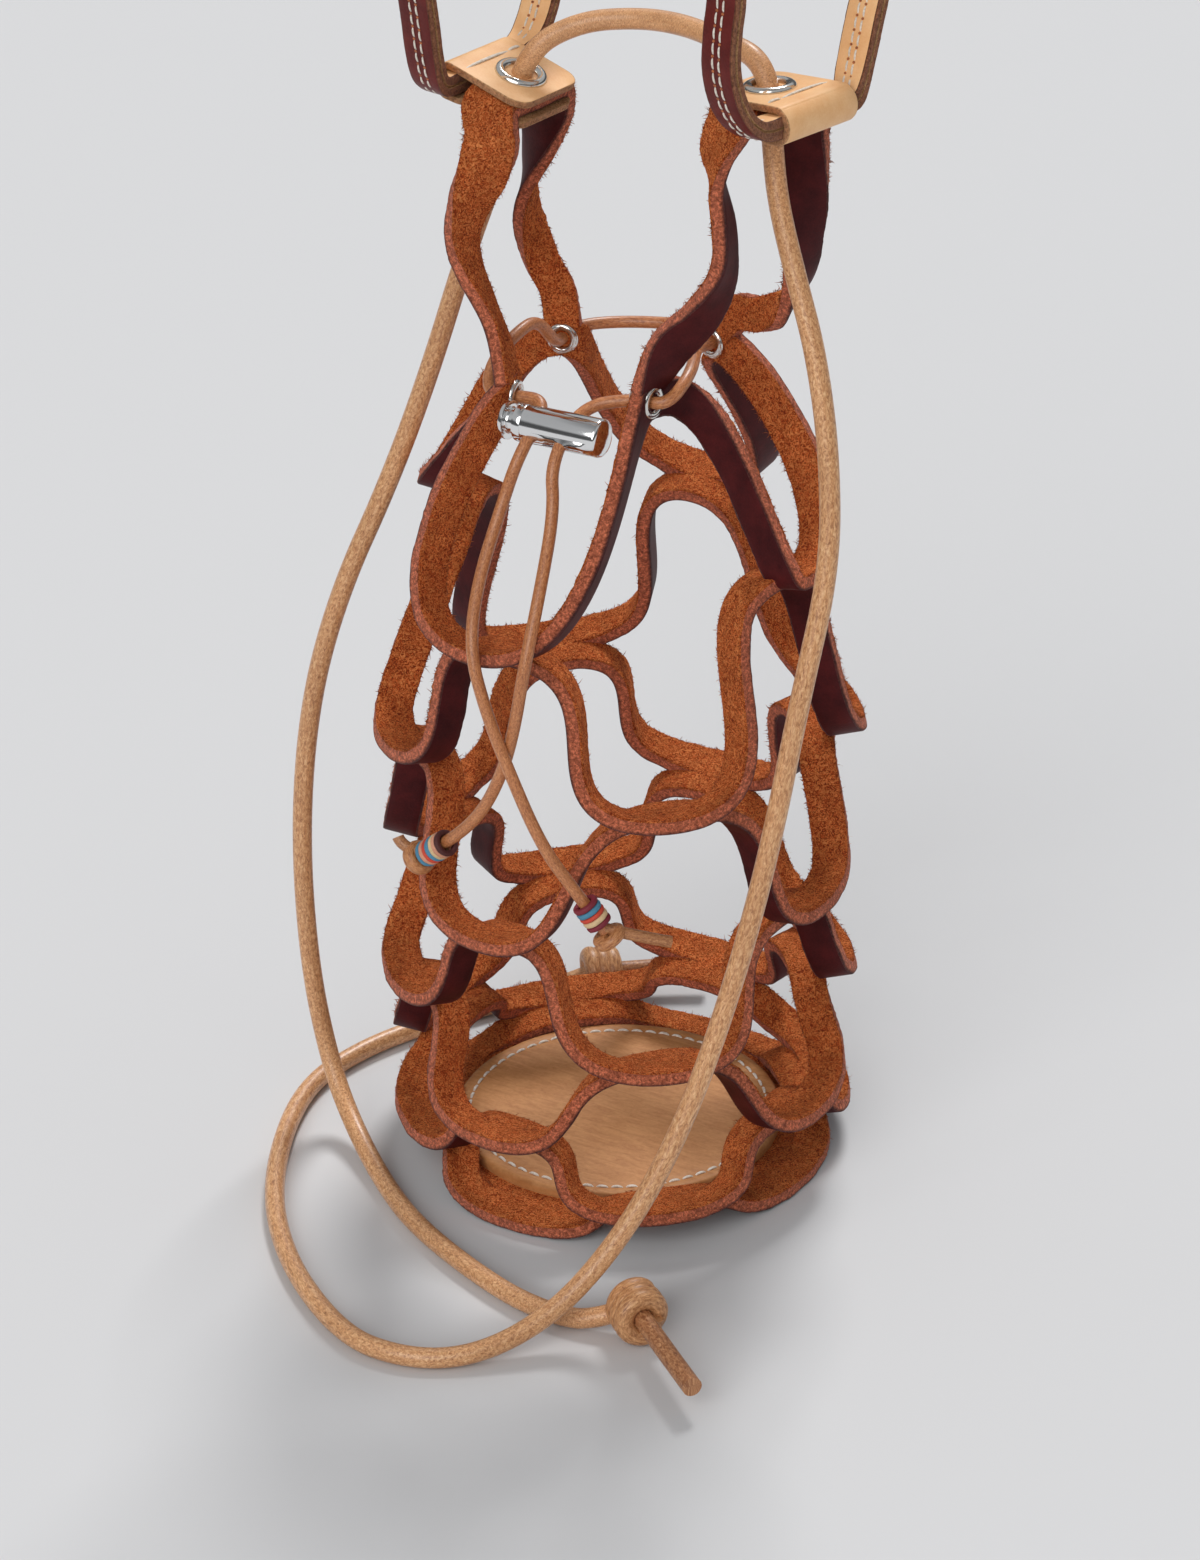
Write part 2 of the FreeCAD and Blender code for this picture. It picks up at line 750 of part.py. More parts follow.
# Spring between the plunger and the end of the bore
wire = size("spring_wire")
room = size("lock_bore_depth") - size("plunger_shaft") - wire - 0.2
coil_radius = size("lock_bore_radius") - wire
coil = []
for step in range(49):
    along = size("plunger_shaft") - size("lock_length") / 2 + wire / 2 + 0.1 + room * step / 48
    turn = 2 * pi * step / 12
    coil.append(lock_frame.multVec(Vector(along, coil_radius * cos(turn), coil_radius * sin(turn))))
shaped("lock_spring", cord("lock_spring", coil, wire))

string = size("string_diameter")
thong = size("strap_cord_diameter")
holes = []
for number in (0, 1):
    along = -size("lock_length") / 2 + size("lock_hole_first") + number * size("lock_hole_pitch")
    holes.append(lock_frame.multVec(Vector(along, 0, 0)))


def through(cell, depth):
    centre, inward = plate_frame(cell)
    return centre + inward * depth


def points_of(*spots):
    return [spot if isinstance(spot, Vector) else Vector(*spot) for spot in spots]


# Drawstring: in the lock, round through the four eyelets and back, with two hanging tails
ring_route = points_of(
    holes[0],
    holes[0] - hole_dir * 7.5,
    through(3, 1),
    through(3, -5.5),
    (-22.5, -16.0, 215.5),
    (-21.5, -6.0, 219.5),
    (-21.0, 3.0, 220.0),
    through(2, 7),
    through(2, -7),
    (-14.5, 33.0, 210.5),
    (3.5, 36.5, 211.5),
    through(1, -8.5),
    through(1, 6),
    (20.2, 6.8, 218.6),
    (27.4, -8.6, 219.0),
    through(0, -6),
    through(0, 2.4),
    holes[1] - hole_dir * 8,
    holes[1],
)
shaped("drawstring_ring", cord("drawstring_ring", ring_route, string))
first_tail = points_of(
    holes[0],
    holes[0] + hole_dir * 9,
    (-6.0, -40.0, 191.0),
    (-5.4, -52.8, 176.5),
    (-1.8, -63.2, 164.0),
    (3.2, -64.8, 150.0),
    (8.6, -65.4, 138.0),
    (16.3, -63.0, 117.0),
    (23.4, -59.4, 104.6),
    (29.6, -56.2, 94.0),
)
shaped("string_tail_long", cord("string_tail_long", first_tail, string))
second_tail = points_of(
    holes[1],
    holes[1] + hole_dir * 9,
    (8.1, -40.0, 191.7),
    (11.6, -53.5, 176.5),
    (12.8, -63.2, 161.5),
    (9.6, -62.6, 146.0),
    (5.6, -62.2, 133.0),
    (0.4, -63.0, 122.0),
    (-7.7, -63.4, 113.0),
    (-17.6, -61.6, 105.2),
)
shaped("string_tail_short", cord("string_tail_short", second_tail, string))


# Leather beads threaded on each tail, from the lock side down to the knot
def beads(name, route, start, thicknesses):
    along = (route[-1] - route[-2]).normalize()
    spot = route[-2] + along * start
    for number, high in enumerate(thicknesses, start=1):
        ring_body(
            "%s_bead_%d" % (name, number),
            "Sizes.bead_radius",
            "Sizes.string_diameter / 2 + Sizes.bead_gap",
            str(high),
            Placement(spot, Rotation(UP, along)),
        )
        spot = spot + along * high
    return along


along = beads("long", first_tail, 3.4, [1.4, 1.5, 1.2, 1.5, 1.4])
long_end = points_of((36.4, -52.4, 92.6), (42.6, -47.6, 90.4))
knot("long_tail_knot", first_tail[-1] + along * (string * 0.6), along, string, 1, long_end)
along = beads("short", second_tail, 2.6, [1.4, 1.3, 1.2, 1.5, 1.2, 1.3, 1.3])
short_end = points_of((-23.4, -62.0, 106.6), (-25.8, -60.8, 111.6))
knot("short_tail_knot", second_tail[-1] + along * (string * 0.6), along, string, 1, short_end)

# Shoulder cord: left strand, top span and right strand meet inside the tab eyelets
lefts = tab_frame("left")
rights = tab_frame("right")
floor = thong / 2 + 0.1
left_route = points_of(
    lefts.multVec(Vector(0, 0, 0)),
    lefts.multVec(Vector(0, 0, -10)),
    (-29.5, -1.5, 256.0),
    (-36.5, -4.0, 236.0),
    (-44.2, -9.4, 206.9),
    (-53.0, -15.6, 178.7),
    (-64.1, -23.2, 149.8),
    (-71.8, -27.6, 119.6),
    (-75.4, -29.7, 82.8),
    (-74.4, -30.2, 45.0),
    (-70.0, -30.0, 18.0),
    (-59.0, -37.5, 6.0),
    (-38.0, -55.0, floor),
    (-17.8, -69.5, floor),
    (13.5, -82.8, floor),
    (30.0, -85.5, floor),
    (41.0, -84.5, 3.4),
    (49.0, -79.0, 7.3),
)
shaped("shoulder_cord_left", cord("shoulder_cord_left", left_route, thong))
top_route = points_of(
    lefts.multVec(Vector(0, 0, 0)),
    lefts.multVec(Vector(0, 0, 10)),
    (-11.0, 8.0, 293.5),
    (2.0, 12.5, 295.0),
    (14.0, 11.5, 295.5),
    (26.0, 7.0, 295.0),
    rights.multVec(Vector(-1, 1, 9)),
    rights.multVec(Vector(0, 0, 0)),
)
shaped("shoulder_cord_top", cord("shoulder_cord_top", top_route, thong))
right_route = points_of(
    rights.multVec(Vector(0, 0, 0)),
    rights.multVec(Vector(0, 0, -10)),
    (47.0, -3.0, 262.0),
    (53.0, -6.0, 247.0),
    (60.5, -9.6, 230.0),
    (66.3, -13.7, 207.0),
    (69.7, -19.8, 182.0),
    (67.6, -30.2, 152.8),
    (65.0, -39.9, 117.2),
    (61.2, -50.1, 86.3),
    (55.7, -62.5, 55.5),
    (48.6, -74.7, 32.0),
    (39.0, -87.0, 14.0),
    (31.0, -99.5, 6.0),
    (21.0, -111.5, floor),
    (8.0, -118.5, floor),
    (-10.0, -117.5, floor),
    (-40.0, -96.9, floor),
    (-63.8, -68.1, floor),
    (-81.4, -27.5, floor),
    (-78.6, -2.5, floor),
    (-70.2, 17.1, floor),
    (-58.0, 38.0, floor),
    (-49.0, 50.0, 3.4),
    (-40.0, 57.0, 7.3),
)
shaped("shoulder_cord_right", cord("shoulder_cord_right", right_route, thong))
front_axis = Vector(0.77, -0.637, 0).normalize()
front_centre = Vector(51.0, -80.6, 7.3)
front_end = [front_centre + front_axis * 14, Vector(78.0, -102.6, 8.0)]
knot("front_knot", front_centre, front_axis, thong, 2, front_end)
back_axis = Vector(0.8, 0.6, 0)
back_centre = Vector(-38.0, 58.5, 7.3)
back_end = [back_centre + back_axis * 14, Vector(-14.0, 74.5, 8.0)]
knot("back_knot", back_centre, back_axis, thong, 2, back_end)

# Check every object, then write each sub-part
doc.recompute()
for item in doc.Objects:
    if "Invalid" in item.State or "Error" in item.State:
        raise RuntimeError("%s: %s" % (item.Label, item.State))
for item in finished:
    if item.Shape.isNull() or not item.Shape.isValid():
        raise RuntimeError("%s has no valid shape" % item.Label)
    item.Shape.exportStep("parts/%s.step" % item.Label)
print("%d sub-parts" % len(finished))
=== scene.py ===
import bpy
from math import cos, pi, radians, sin, sqrt
from random import Random
from mathutils import Matrix, Vector, noise


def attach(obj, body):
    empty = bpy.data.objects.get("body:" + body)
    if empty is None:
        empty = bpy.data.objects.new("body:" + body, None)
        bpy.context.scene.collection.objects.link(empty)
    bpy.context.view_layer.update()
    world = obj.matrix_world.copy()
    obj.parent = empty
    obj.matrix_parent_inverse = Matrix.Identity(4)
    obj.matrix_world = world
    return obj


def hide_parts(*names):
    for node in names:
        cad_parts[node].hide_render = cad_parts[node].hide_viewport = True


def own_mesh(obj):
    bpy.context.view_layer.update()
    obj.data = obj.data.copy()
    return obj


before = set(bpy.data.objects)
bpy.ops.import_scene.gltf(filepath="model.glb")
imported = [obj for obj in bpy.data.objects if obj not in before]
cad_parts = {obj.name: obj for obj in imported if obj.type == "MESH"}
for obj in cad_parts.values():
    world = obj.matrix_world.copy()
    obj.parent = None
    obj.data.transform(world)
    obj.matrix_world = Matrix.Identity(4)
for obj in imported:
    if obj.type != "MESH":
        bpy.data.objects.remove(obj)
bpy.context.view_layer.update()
MM = 0.001
UP = Vector((0, 0, 1))
HANDS = ("left", "right")
scene = bpy.context.scene
scene.view_settings.view_transform = "Standard"


# Puts new data in the scene as an object
def shown(name, data):
    obj = bpy.data.objects.new(name, data)
    scene.collection.objects.link(obj)
    return obj


# Place by an angle in degrees, a radius and a height
def polar(angle, radius, height=0.0):
    return Vector((radius * cos(radians(angle)), radius * sin(radians(angle)), height))


# Camera of the photograph: lengths in millimetres, angles in radians
AZIMUTH = radians(30)
EYE_BACK = 939.851
EYE_HIGH = 582.950
AIM_SIDE = -3.477
AIM_HIGH = 102.021
ROLL = -0.016
FOCUS_PIXELS = 4220.7
PHOTO_PIXELS = 1560
SENSOR = 36
back = Vector((sin(AZIMUTH), -cos(AZIMUTH), 0))
side = Vector((cos(AZIMUTH), sin(AZIMUTH), 0))
eye = back * EYE_BACK + UP * EYE_HIGH
aim = side * AIM_SIDE + UP * AIM_HIGH
ahead = (aim - eye).normalized()
right = ahead.cross(UP).normalized()
upward = right.cross(ahead)
lens = bpy.data.cameras.new("camera")
lens.sensor_fit = "VERTICAL"
lens.sensor_height = SENSOR
lens.lens = SENSOR * FOCUS_PIXELS / PHOTO_PIXELS
camera = shown("camera", lens)
turned_right = right * cos(ROLL) + upward * sin(ROLL)
turned_up = upward * cos(ROLL) - right * sin(ROLL)
axes = Matrix((turned_right, turned_up, -ahead)).transposed()
camera.matrix_world = Matrix.Translation(eye * MM) @ axes.to_4x4()
scene.camera = camera


# Colours as seen, 0 to 255
def tint(red, green, blue):
    out = []
    for value in (red, green, blue):
        value = value / 255
        out.append(value / 12.92 if value < 0.04045 else ((value + 0.055) / 1.055) ** 2.4)
    return (*out, 1.0)


# Sockets of a Mix node that mixes colours
MIX_FAC, MIX_LOW, MIX_HIGH, MIX_OUT = 0, 6, 7, 2


def set_ramp(ramp, stops):
    marks = ramp.elements
    while len(marks) < len(stops):
        marks.new(0.5)
    for mark, (spot, colour) in zip(marks, stops):
        mark.position = spot
        mark.color = colour


class Look:
    """One procedural material and the nodes that feed it."""

    def __init__(self, name, **sockets):
        self.mat = bpy.data.materials.new(name)
        self.mat.use_nodes = True
        self.tree = self.mat.node_tree
        self.bsdf = self.tree.nodes["Principled BSDF"]
        for key, value in sockets.items():
            self.bsdf.inputs[key.replace("_", " ")].default_value = value
        self.place = self.add("TexCoord").outputs["Object"]

    def add(self, kind, inputs=None, **props):
        made = self.tree.nodes.new("ShaderNode" + kind)
        for key, value in props.items():
            setattr(made, key, value)
        for key, value in (inputs or {}).items():
            if isinstance(value, bpy.types.NodeSocket):
                self.tree.links.new(value, made.inputs[key])
            else:
                made.inputs[key].default_value = value
        return made

    def stretch(self, scale, source="UV"):
        where = self.add("TexCoord").outputs[source]
        return self.add("Mapping", {"Vector": where, "Scale": scale}).outputs["Vector"]

    def noise(self, scale, detail=4.0, rough=0.6, where=None, swirl=0.0):
        inputs = {"Vector": where or self.place, "Scale": scale, "Detail": detail}
        inputs.update({"Roughness": rough, "Distortion": swirl})
        return self.add("TexNoise", inputs).outputs["Fac"]

    def ramp(self, fac, stops):
        made = self.add("ValToRGB", {"Fac": fac})
        set_ramp(made.color_ramp, stops)
        return made.outputs["Color"]

    def mix(self, fac, low, high, blend="MIX"):
        inputs = {MIX_FAC: fac, MIX_LOW: low, MIX_HIGH: high}
        return self.add("Mix", inputs, data_type="RGBA", blend_type=blend).outputs[MIX_OUT]

    def level(self, value, low, high):
        made = self.add("MapRange", {"Value": value, "To Min": low, "To Max": high})
        return made.outputs["Result"]

    def feed(self, socket, value):
        self.tree.links.new(value, self.bsdf.inputs[socket])

    def paint(self, colour):
        self.feed("Base Color", colour)

    def bump(self, height, strength, distance, under=None):
        inputs = {"Height": height, "Strength": strength, "Distance": distance}
        if under is not None:
            inputs["Normal"] = under
        out = self.add("Bump", inputs).outputs["Normal"]
        self.feed("Normal", out)
        return out


# Flesh side of leather, with its nap
def suede(name, dark, middle, light):
    sheen = {"Sheen_Weight": 0.1, "Sheen_Roughness": 0.5, "Sheen_Tint": light}
    look = Look(name, Roughness=0.95, Specular_IOR_Level=0.12, **sheen)
    nap = look.noise(1050, 6, 0.7, swirl=2.2)
    tone = look.ramp(nap, [(0.40, dark), (0.49, middle), (0.58, light)])
    cloud = look.noise(170, 4)
    patch = look.ramp(cloud, [(0.36, (0.84, 0.8, 0.77, 1)), (0.62, (1.07, 1.06, 1.04, 1))])
    look.paint(look.mix(1.0, tone, patch, "MULTIPLY"))
    look.bump(nap, 1.0, 0.0013)
    return look.mat


# Cut edge of leather: the grain's skin as deep as the rim, then the core
def cut_edge(name, skin, core, fleck, rim=0.22):
    look = Look(name, Roughness=0.8, Sheen_Weight=0.1, Specular_IOR_Level=0.25)
    depth = look.add("Attribute", attribute_name="depth").outputs["Fac"]
    body = look.ramp(depth, [(0.04, skin), (rim, core), (1.0, core)])
    fibre = look.noise(1250, 6, 0.8, swirl=0.5)
    shade = (0.45, 0.38, 0.35, 1)
    flecks = look.ramp(fibre, [(0.38, shade), (0.48, (0.9, 0.87, 0.85, 1)), (0.60, fleck)])
    look.paint(look.mix(1.0, body, flecks, "MULTIPLY"))
    look.bump(fibre, 0.9, 0.0007)
    return look.mat


# Smooth side of leather, with its pores
def grain(name, dark, light, rough, shine=0.4):
    look = Look(name, Roughness=rough, Specular_IOR_Level=shine)
    cloud = look.noise(140, 5)
    fine = look.noise(2200, 3)
    tone = look.ramp(cloud, [(0.35, dark), (0.65, light)])
    look.paint(look.mix(0.3, tone, look.ramp(fine, [(0.35, dark), (0.65, light)])))
    pores = look.add("TexVoronoi", {"Vector": look.place, "Scale": 1700.0}).outputs["Distance"]
    under = look.bump(pores, 0.15, 0.0002)
    look.bump(cloud, 0.15, 0.0006, under)
    return look.mat


# Leathers of the net, the straps and the tan parts
NET_GRAIN = grain("net_grain", tint(56, 15, 18), tint(86, 27, 28), 0.55, 0.14)
NET_FLESH = suede("net_flesh", tint(134, 47, 23), tint(226, 105, 50), tint(255, 162, 94))
NET_EDGE = cut_edge("net_edge", tint(76, 32, 28), tint(182, 97, 66), (1.9, 2.1, 2.25, 1), 0.26)
NET = (NET_GRAIN, NET_FLESH, NET_EDGE)
FUZZ = suede("net_fuzz", tint(150, 72, 40), tint(192, 104, 62), tint(226, 144, 98))
STRAP_GRAIN = grain("strap_grain", tint(84, 26, 24), tint(112, 40, 35), 0.42, 0.22)
STRAP_EDGE = cut_edge(
    "strap_edge", tint(108, 62, 43), tint(148, 94, 64), (1.5, 1.55, 1.6, 1), 0.1
)
TAN = grain("tan_grain", tint(238, 181, 124), tint(250, 203, 150), 0.48, 0.3)
TAN_EDGE = cut_edge("tan_edge", tint(206, 156, 110), tint(186, 132, 90), (1.25, 1.28, 1.3, 1))
TAN_FLESH = suede("tan_flesh", tint(170, 120, 78), tint(206, 156, 108), tint(226, 182, 138))


# Leather of the base's insert, with long faint lines
def saddle(name, dark, light):
    look = Look(name, Roughness=0.55, Specular_IOR_Level=0.3)
    lines = look.noise(1.0, 5, 0.6, look.stretch((150, 600, 300), "Object"), 0.8)
    tone = look.ramp(lines, [(0.36, dark), (0.62, light)])
    fine = look.ramp(look.noise(900, 4), [(0.35, dark), (0.65, light)])
    look.paint(look.mix(0.35, tone, fine))
    look.bump(lines, 0.2, 0.0004)
    return look.mat


INSERT = saddle("insert_grain", tint(178, 118, 68), tint(204, 146, 92))


# Round leather cord; the length in metres sets how long its flecks and streaks are
def wound(name, dark, middle, light, length, gloss):
    look = Look(
        name, Roughness=0.45, Specular_IOR_Level=0.4, Coat_Weight=gloss, Coat_Roughness=0.3
    )
    flecks = look.noise(1.0, 5, 0.7, look.stretch((length * 1000, 26, 1)), 0.8)
    streak = look.noise(1.0, 3, 0.6, look.stretch((length * 30, 4, 1)))
    tone = look.ramp(flecks, [(0.32, dark), (0.48, middle), (0.66, light)])
    shade = look.ramp(streak, [(0.35, (0.88, 0.85, 0.82, 1)), (0.65, (1.06, 1.06, 1.06, 1))])
    look.paint(look.mix(1.0, tone, shade, "MULTIPLY"))
    look.bump(flecks, 0.3, 0.0003)
    return look.mat


def metal(name, colour, rough):
    look = Look(name, Metallic=1.0, Base_Color=colour)
    smear = look.noise(160, 4)
    look.feed("Roughness", look.level(smear, rough * 0.7, rough * 1.4))
    look.bump(look.noise(1200, 2), 0.02, 0.0002)
    return look.mat


def thread(name, colour, shade):
    look = Look(name, Roughness=0.7, Sheen_Weight=0.2)
    strand = look.noise(1800, 3)
    look.paint(look.ramp(strand, [(0.35, shade), (0.6, colour)]))
    look.bump(strand, 0.5, 0.0002)
    return look.mat


NICKEL = metal("nickel", (0.74, 0.73, 0.70, 1), 0.16)
CHROME = metal("chrome", (0.82, 0.82, 0.82, 1), 0.1)
STEEL = metal("steel", (0.55, 0.55, 0.56, 1), 0.3)
THREAD = thread("thread", tint(240, 232, 220), tint(206, 194, 178))
PRICK = thread("needle_hole", tint(196, 112, 58), tint(120, 60, 34))


# Mesh from points in millimetres
def new_mesh(name, points, faces):
    mesh = bpy.data.meshes.new(name)
    mesh.from_pydata([tuple(point * MM) for point in points], [], faces)
    return mesh


# Builds one piece in the shared frame, riding on a body
def piece(name, points, faces, mats, body, picks=None, depths=None):
    mesh = new_mesh(name, points, faces)
    for mat in mats:
        mesh.materials.append(mat)
    if picks:
        mesh.polygons.foreach_set("material_index", picks)
    mesh.polygons.foreach_set("use_smooth", [True] * len(faces))
    if depths:
        mesh.attributes.new("depth", "FLOAT", "POINT").data.foreach_set("value", depths)
    obj = shown(name, mesh)
    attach(obj, body)
    return obj


# Curve through the values, with so many spans between two of them
def smooth(values, spans):
    out = []
    for number in range(len(values) - 1):
        a = values[max(number - 1, 0)]
        b = values[number]
        c = values[number + 1]
        d = values[min(number + 2, len(values) - 1)]
        for step in range(spans):
            u = step / spans
            curve = (a * 2 - b * 5 + c * 4 - d) * (u * u) + (b * 3 - a - c * 3 + d) * (u * u * u)
            out.append((b * 2 + (c - a) * u + curve) * 0.5)
    out.append(values[-1])
    return out


def smooth_keys(keys, spans):
    return [smooth(column, spans) for column in zip(*keys)]


# Direction of a line at each of its points
def directions(points, closed):
    count = len(points)
    out = []
    for number in range(count):
        before = points[number - 1] if closed else points[max(number - 1, 0)]
        after = points[(number + 1) % count] if closed else points[min(number + 1, count - 1)]
        out.append((after - before).normalized())
    return out


# Faces of a strap, in the order of its materials
GRAIN, FLESH, EDGE = range(3)


# Outline of a strap across its length: (across, through, part), grain at +through
def outline(wide, thick, corner):
    w = wide / 2
    t = thick / 2
    c = min(corner, w * 0.4, t * 0.45)
    k = c * 0.3
    face = [-1 + 0.4 * n for n in range(6)]
    edge = [1, 0.34, -0.34, -1]
    loop = [(f * (w - c), t, GRAIN) for f in face] + [(w - k, t - k, EDGE)]
    loop += [(w, f * (t - c), EDGE) for f in edge] + [(w - k, k - t, FLESH)]
    loop += [(-f * (w - c), -t, FLESH) for f in face] + [(k - w, k - t, FLESH)]
    loop += [(-w, -f * (t - c), EDGE) for f in edge] + [(k - w, t - k, EDGE)]
    return loop


# Sweeps a strap along frames (centre, across, through); flesh side and cut edges are rough
def strap(
    name, frames, wides, thick, closed, mats, body="carrier", rag=0.32, corner=0.5, thicks=()
):
    points = []
    depths = []
    faces = []
    picks = []
    ring = len(outline(wides[0], thick, corner))
    for number, (centre, across, through) in enumerate(frames):
        deep = thicks[number] if thicks else thick
        for a, b, part in outline(wides[number], deep, corner):
            spot = centre + across * a + through * b
            wild = noise.noise(spot * 1.1) + 0.6 * noise.noise(spot * 2.7)
            slow = noise.noise(spot * 0.16 + Vector((7, 3, 1)))
            if part == FLESH:
                rim = 1 if abs(a) > wides[number] * 0.42 else 0
                spot += through * (-rag * 0.5 * wild) + across * (rag * 0.8 * wild * rim)
            elif part == EDGE:
                end = 1 if a > 0 else -1
                spot += across * ((rag * 0.5 * wild + rag * slow) * end)
            points.append(spot)
            depths.append(0.5 - b / deep)
    rows = len(frames)
    for row in range(rows if closed else rows - 1):
        other = (row + 1) % rows
        parts = outline(wides[row], thick, corner)
        for k in range(ring):
            nxt = (k + 1) % ring
            faces.append((row * ring + k, row * ring + nxt, other * ring + nxt, other * ring + k))
            pair = (parts[k][2], parts[nxt][2])
            picks.append(pair[0] if pair[0] == pair[1] else (FLESH if FLESH in pair else EDGE))
    if not closed:
        faces.append(tuple(range(ring - 1, -1, -1)))
        faces.append(tuple((rows - 1) * ring + k for k in range(ring)))
        picks += [EDGE, EDGE]
    return piece(name, points, faces, mats, body, picks, depths)


def scatter(dice):
    return Vector((dice.gauss(0, 1), dice.gauss(0, 1), dice.gauss(0, 1)))


FIBRE_HALF = 0.11
HOOP_SEED = 20
HANDLE_SEED = 40


# Loose fibres along the rough edges of a strap
def fuzz(
    name, frames, wides, thick, mat, slot, seed, body="carrier", per_mm=7.0, reach=0.75, closed=True
):
    dice = Random(seed)
    points = []
    faces = []
    count = len(frames)
    for number in range(count if closed else count - 1):
        centre, across, through = frames[number]
        after = frames[(number + 1) % count][0]
        step = after - centre
        for end in (-1, 1):
            cloud = noise.noise(centre * 0.35 + Vector((0, 0, end * 9)))
            clump = 0.4 + 1.2 * max(0.0, cloud + 0.35)
            many = step.length * per_mm * clump
            for _ in range(int(many) + (dice.random() < many % 1)):
                root = centre + step * dice.random() + across * (end * (wides[number] / 2 - 0.1))
                root += through * (-thick / 2 + 0.1 + abs(dice.gauss(0, 0.5)))
                lean = across * end * dice.uniform(0.2, 1.0) - through * dice.uniform(0.0, 0.9)
                lean += step.normalized() * dice.gauss(0, 0.7)
                lean.normalize()
                long = min(reach * 2.2, reach * (0.25 + dice.expovariate(2.2)))
                curl = scatter(dice).cross(lean) * 0.25
                flat = lean.cross(scatter(dice)).normalized() * FIBRE_HALF
                start = len(points)
                bend = root + lean * (long * 0.55) + curl * (long * 0.5)
                tip = root + lean * long + curl * (long * 1.4)
                points.extend((root - flat, root + flat, bend + flat * 0.7, bend - flat * 0.7, tip))
                faces.append((start, start + 1, start + 2, start + 3))
                faces.append((start + 3, start + 2, start + 4))
    return piece(name, points, faces, [mat], body)


# Slit net: seven rows of strips with four cells round, staggered by half a cell
ROWS = 7
CELLS = 4
CELL_TURN = 90
BASE_RADIUS = 47.0
NET_RADIUS = 51.3
PLATE_RADIUS = 27.0
WIDE = 9.0
THICK = 3.7
LAP = 0.4
TILT = radians(12)
LEVELS = [THICK / 2, 10.0, 24.0, 50.0, 81.0, 117.0, 163.0, 211.0]
# Turn, rise and push outward of single joints, by level and cell
HANG = {
    (1, 0): (-4, -1, 0.5), (1, 1): (-6, 0, 0.5), (1, 3): (0, 3, -2), (2, 0): (-4, 2, 0),
    (2, 1): (-3, -1, 0.5), (3, 0): (-1, -1, 0), (3, 1): (-3, -3, 1.5), (3, 3): (2, 5, 0),
    (4, 0): (-3, 1.2, 0.5), (4, 1): (-2, 0, 0.5), (5, 0): (-1, 1, 0), (5, 1): (-3, -1, 3),
    (5, 3): (3, 5, 0), (6, 0): (-4, -4, 0), (6, 1): (-8, 8, -1), (6, 2): (0, 4, -4),
    (6, 3): (12, 16, -12), (7, 0): (4, 3, 0), (7, 1): (10, 3, 2), (7, 2): (8, 0, 0),
    (7, 3): (14, 0, 0),
}
# Flat run of a strip at its foot and its top, by row, and of single halves by row, cell and hand
RUNS = [(0.8, 0.7), (0.95, 0.75), (1.0, 0.8), (1.05, 0.85), (1.05, 0.85), (1.1, 0.9)]
LEANS = {
    (2, 0, 1): (0.8, 0.75), (3, 0, 1): (0.65, 0.8), (3, 1, -1): (0.7, 0.8),
    (4, 0, -1): (0.95, 0.62), (4, 0, 1): (0.8, 0.85), (5, 0, 1): (0.6, 0.75),
    (5, 1, -1): (0.7, 1.1), (6, 0, -1): (0.92, 0.95),
}
# Facing of the four top plates, and runs of the top row for front and back cells and side halves
FACING = [174, 255, 285, 8]
TOP_RUN = (36.0, 9.0)
SIDE_RUNS = {
    (1, -1): (9.0, 33.0),
    (1, 1): (30.0, 15.0),
    (3, -1): (30.0, 15.0),
    (3, 1): (20.0, 22.0),
}
# Strips widen by this much at the joints, over this share of a half strip
WEB = 2.0
WEB_SHARE = 0.16
STEPS = 70


def joint(level, cell):
    turn, rise, outward = HANG.get((level, cell % CELLS), (0, 0, 0))
    first = -CELL_TURN if level % 2 == 0 else -CELL_TURN / 2
    radius = BASE_RADIUS if level == 0 else PLATE_RADIUS if level == ROWS else NET_RADIUS
    return first + CELL_TURN * cell + turn, LEVELS[level] + rise, radius + outward


def bezier(a, b, c, d, u):
    v = 1 - u
    return a * (v * v * v) + b * (3 * u * v * v) + c * (3 * u * u * v) + d * (u * u * u)


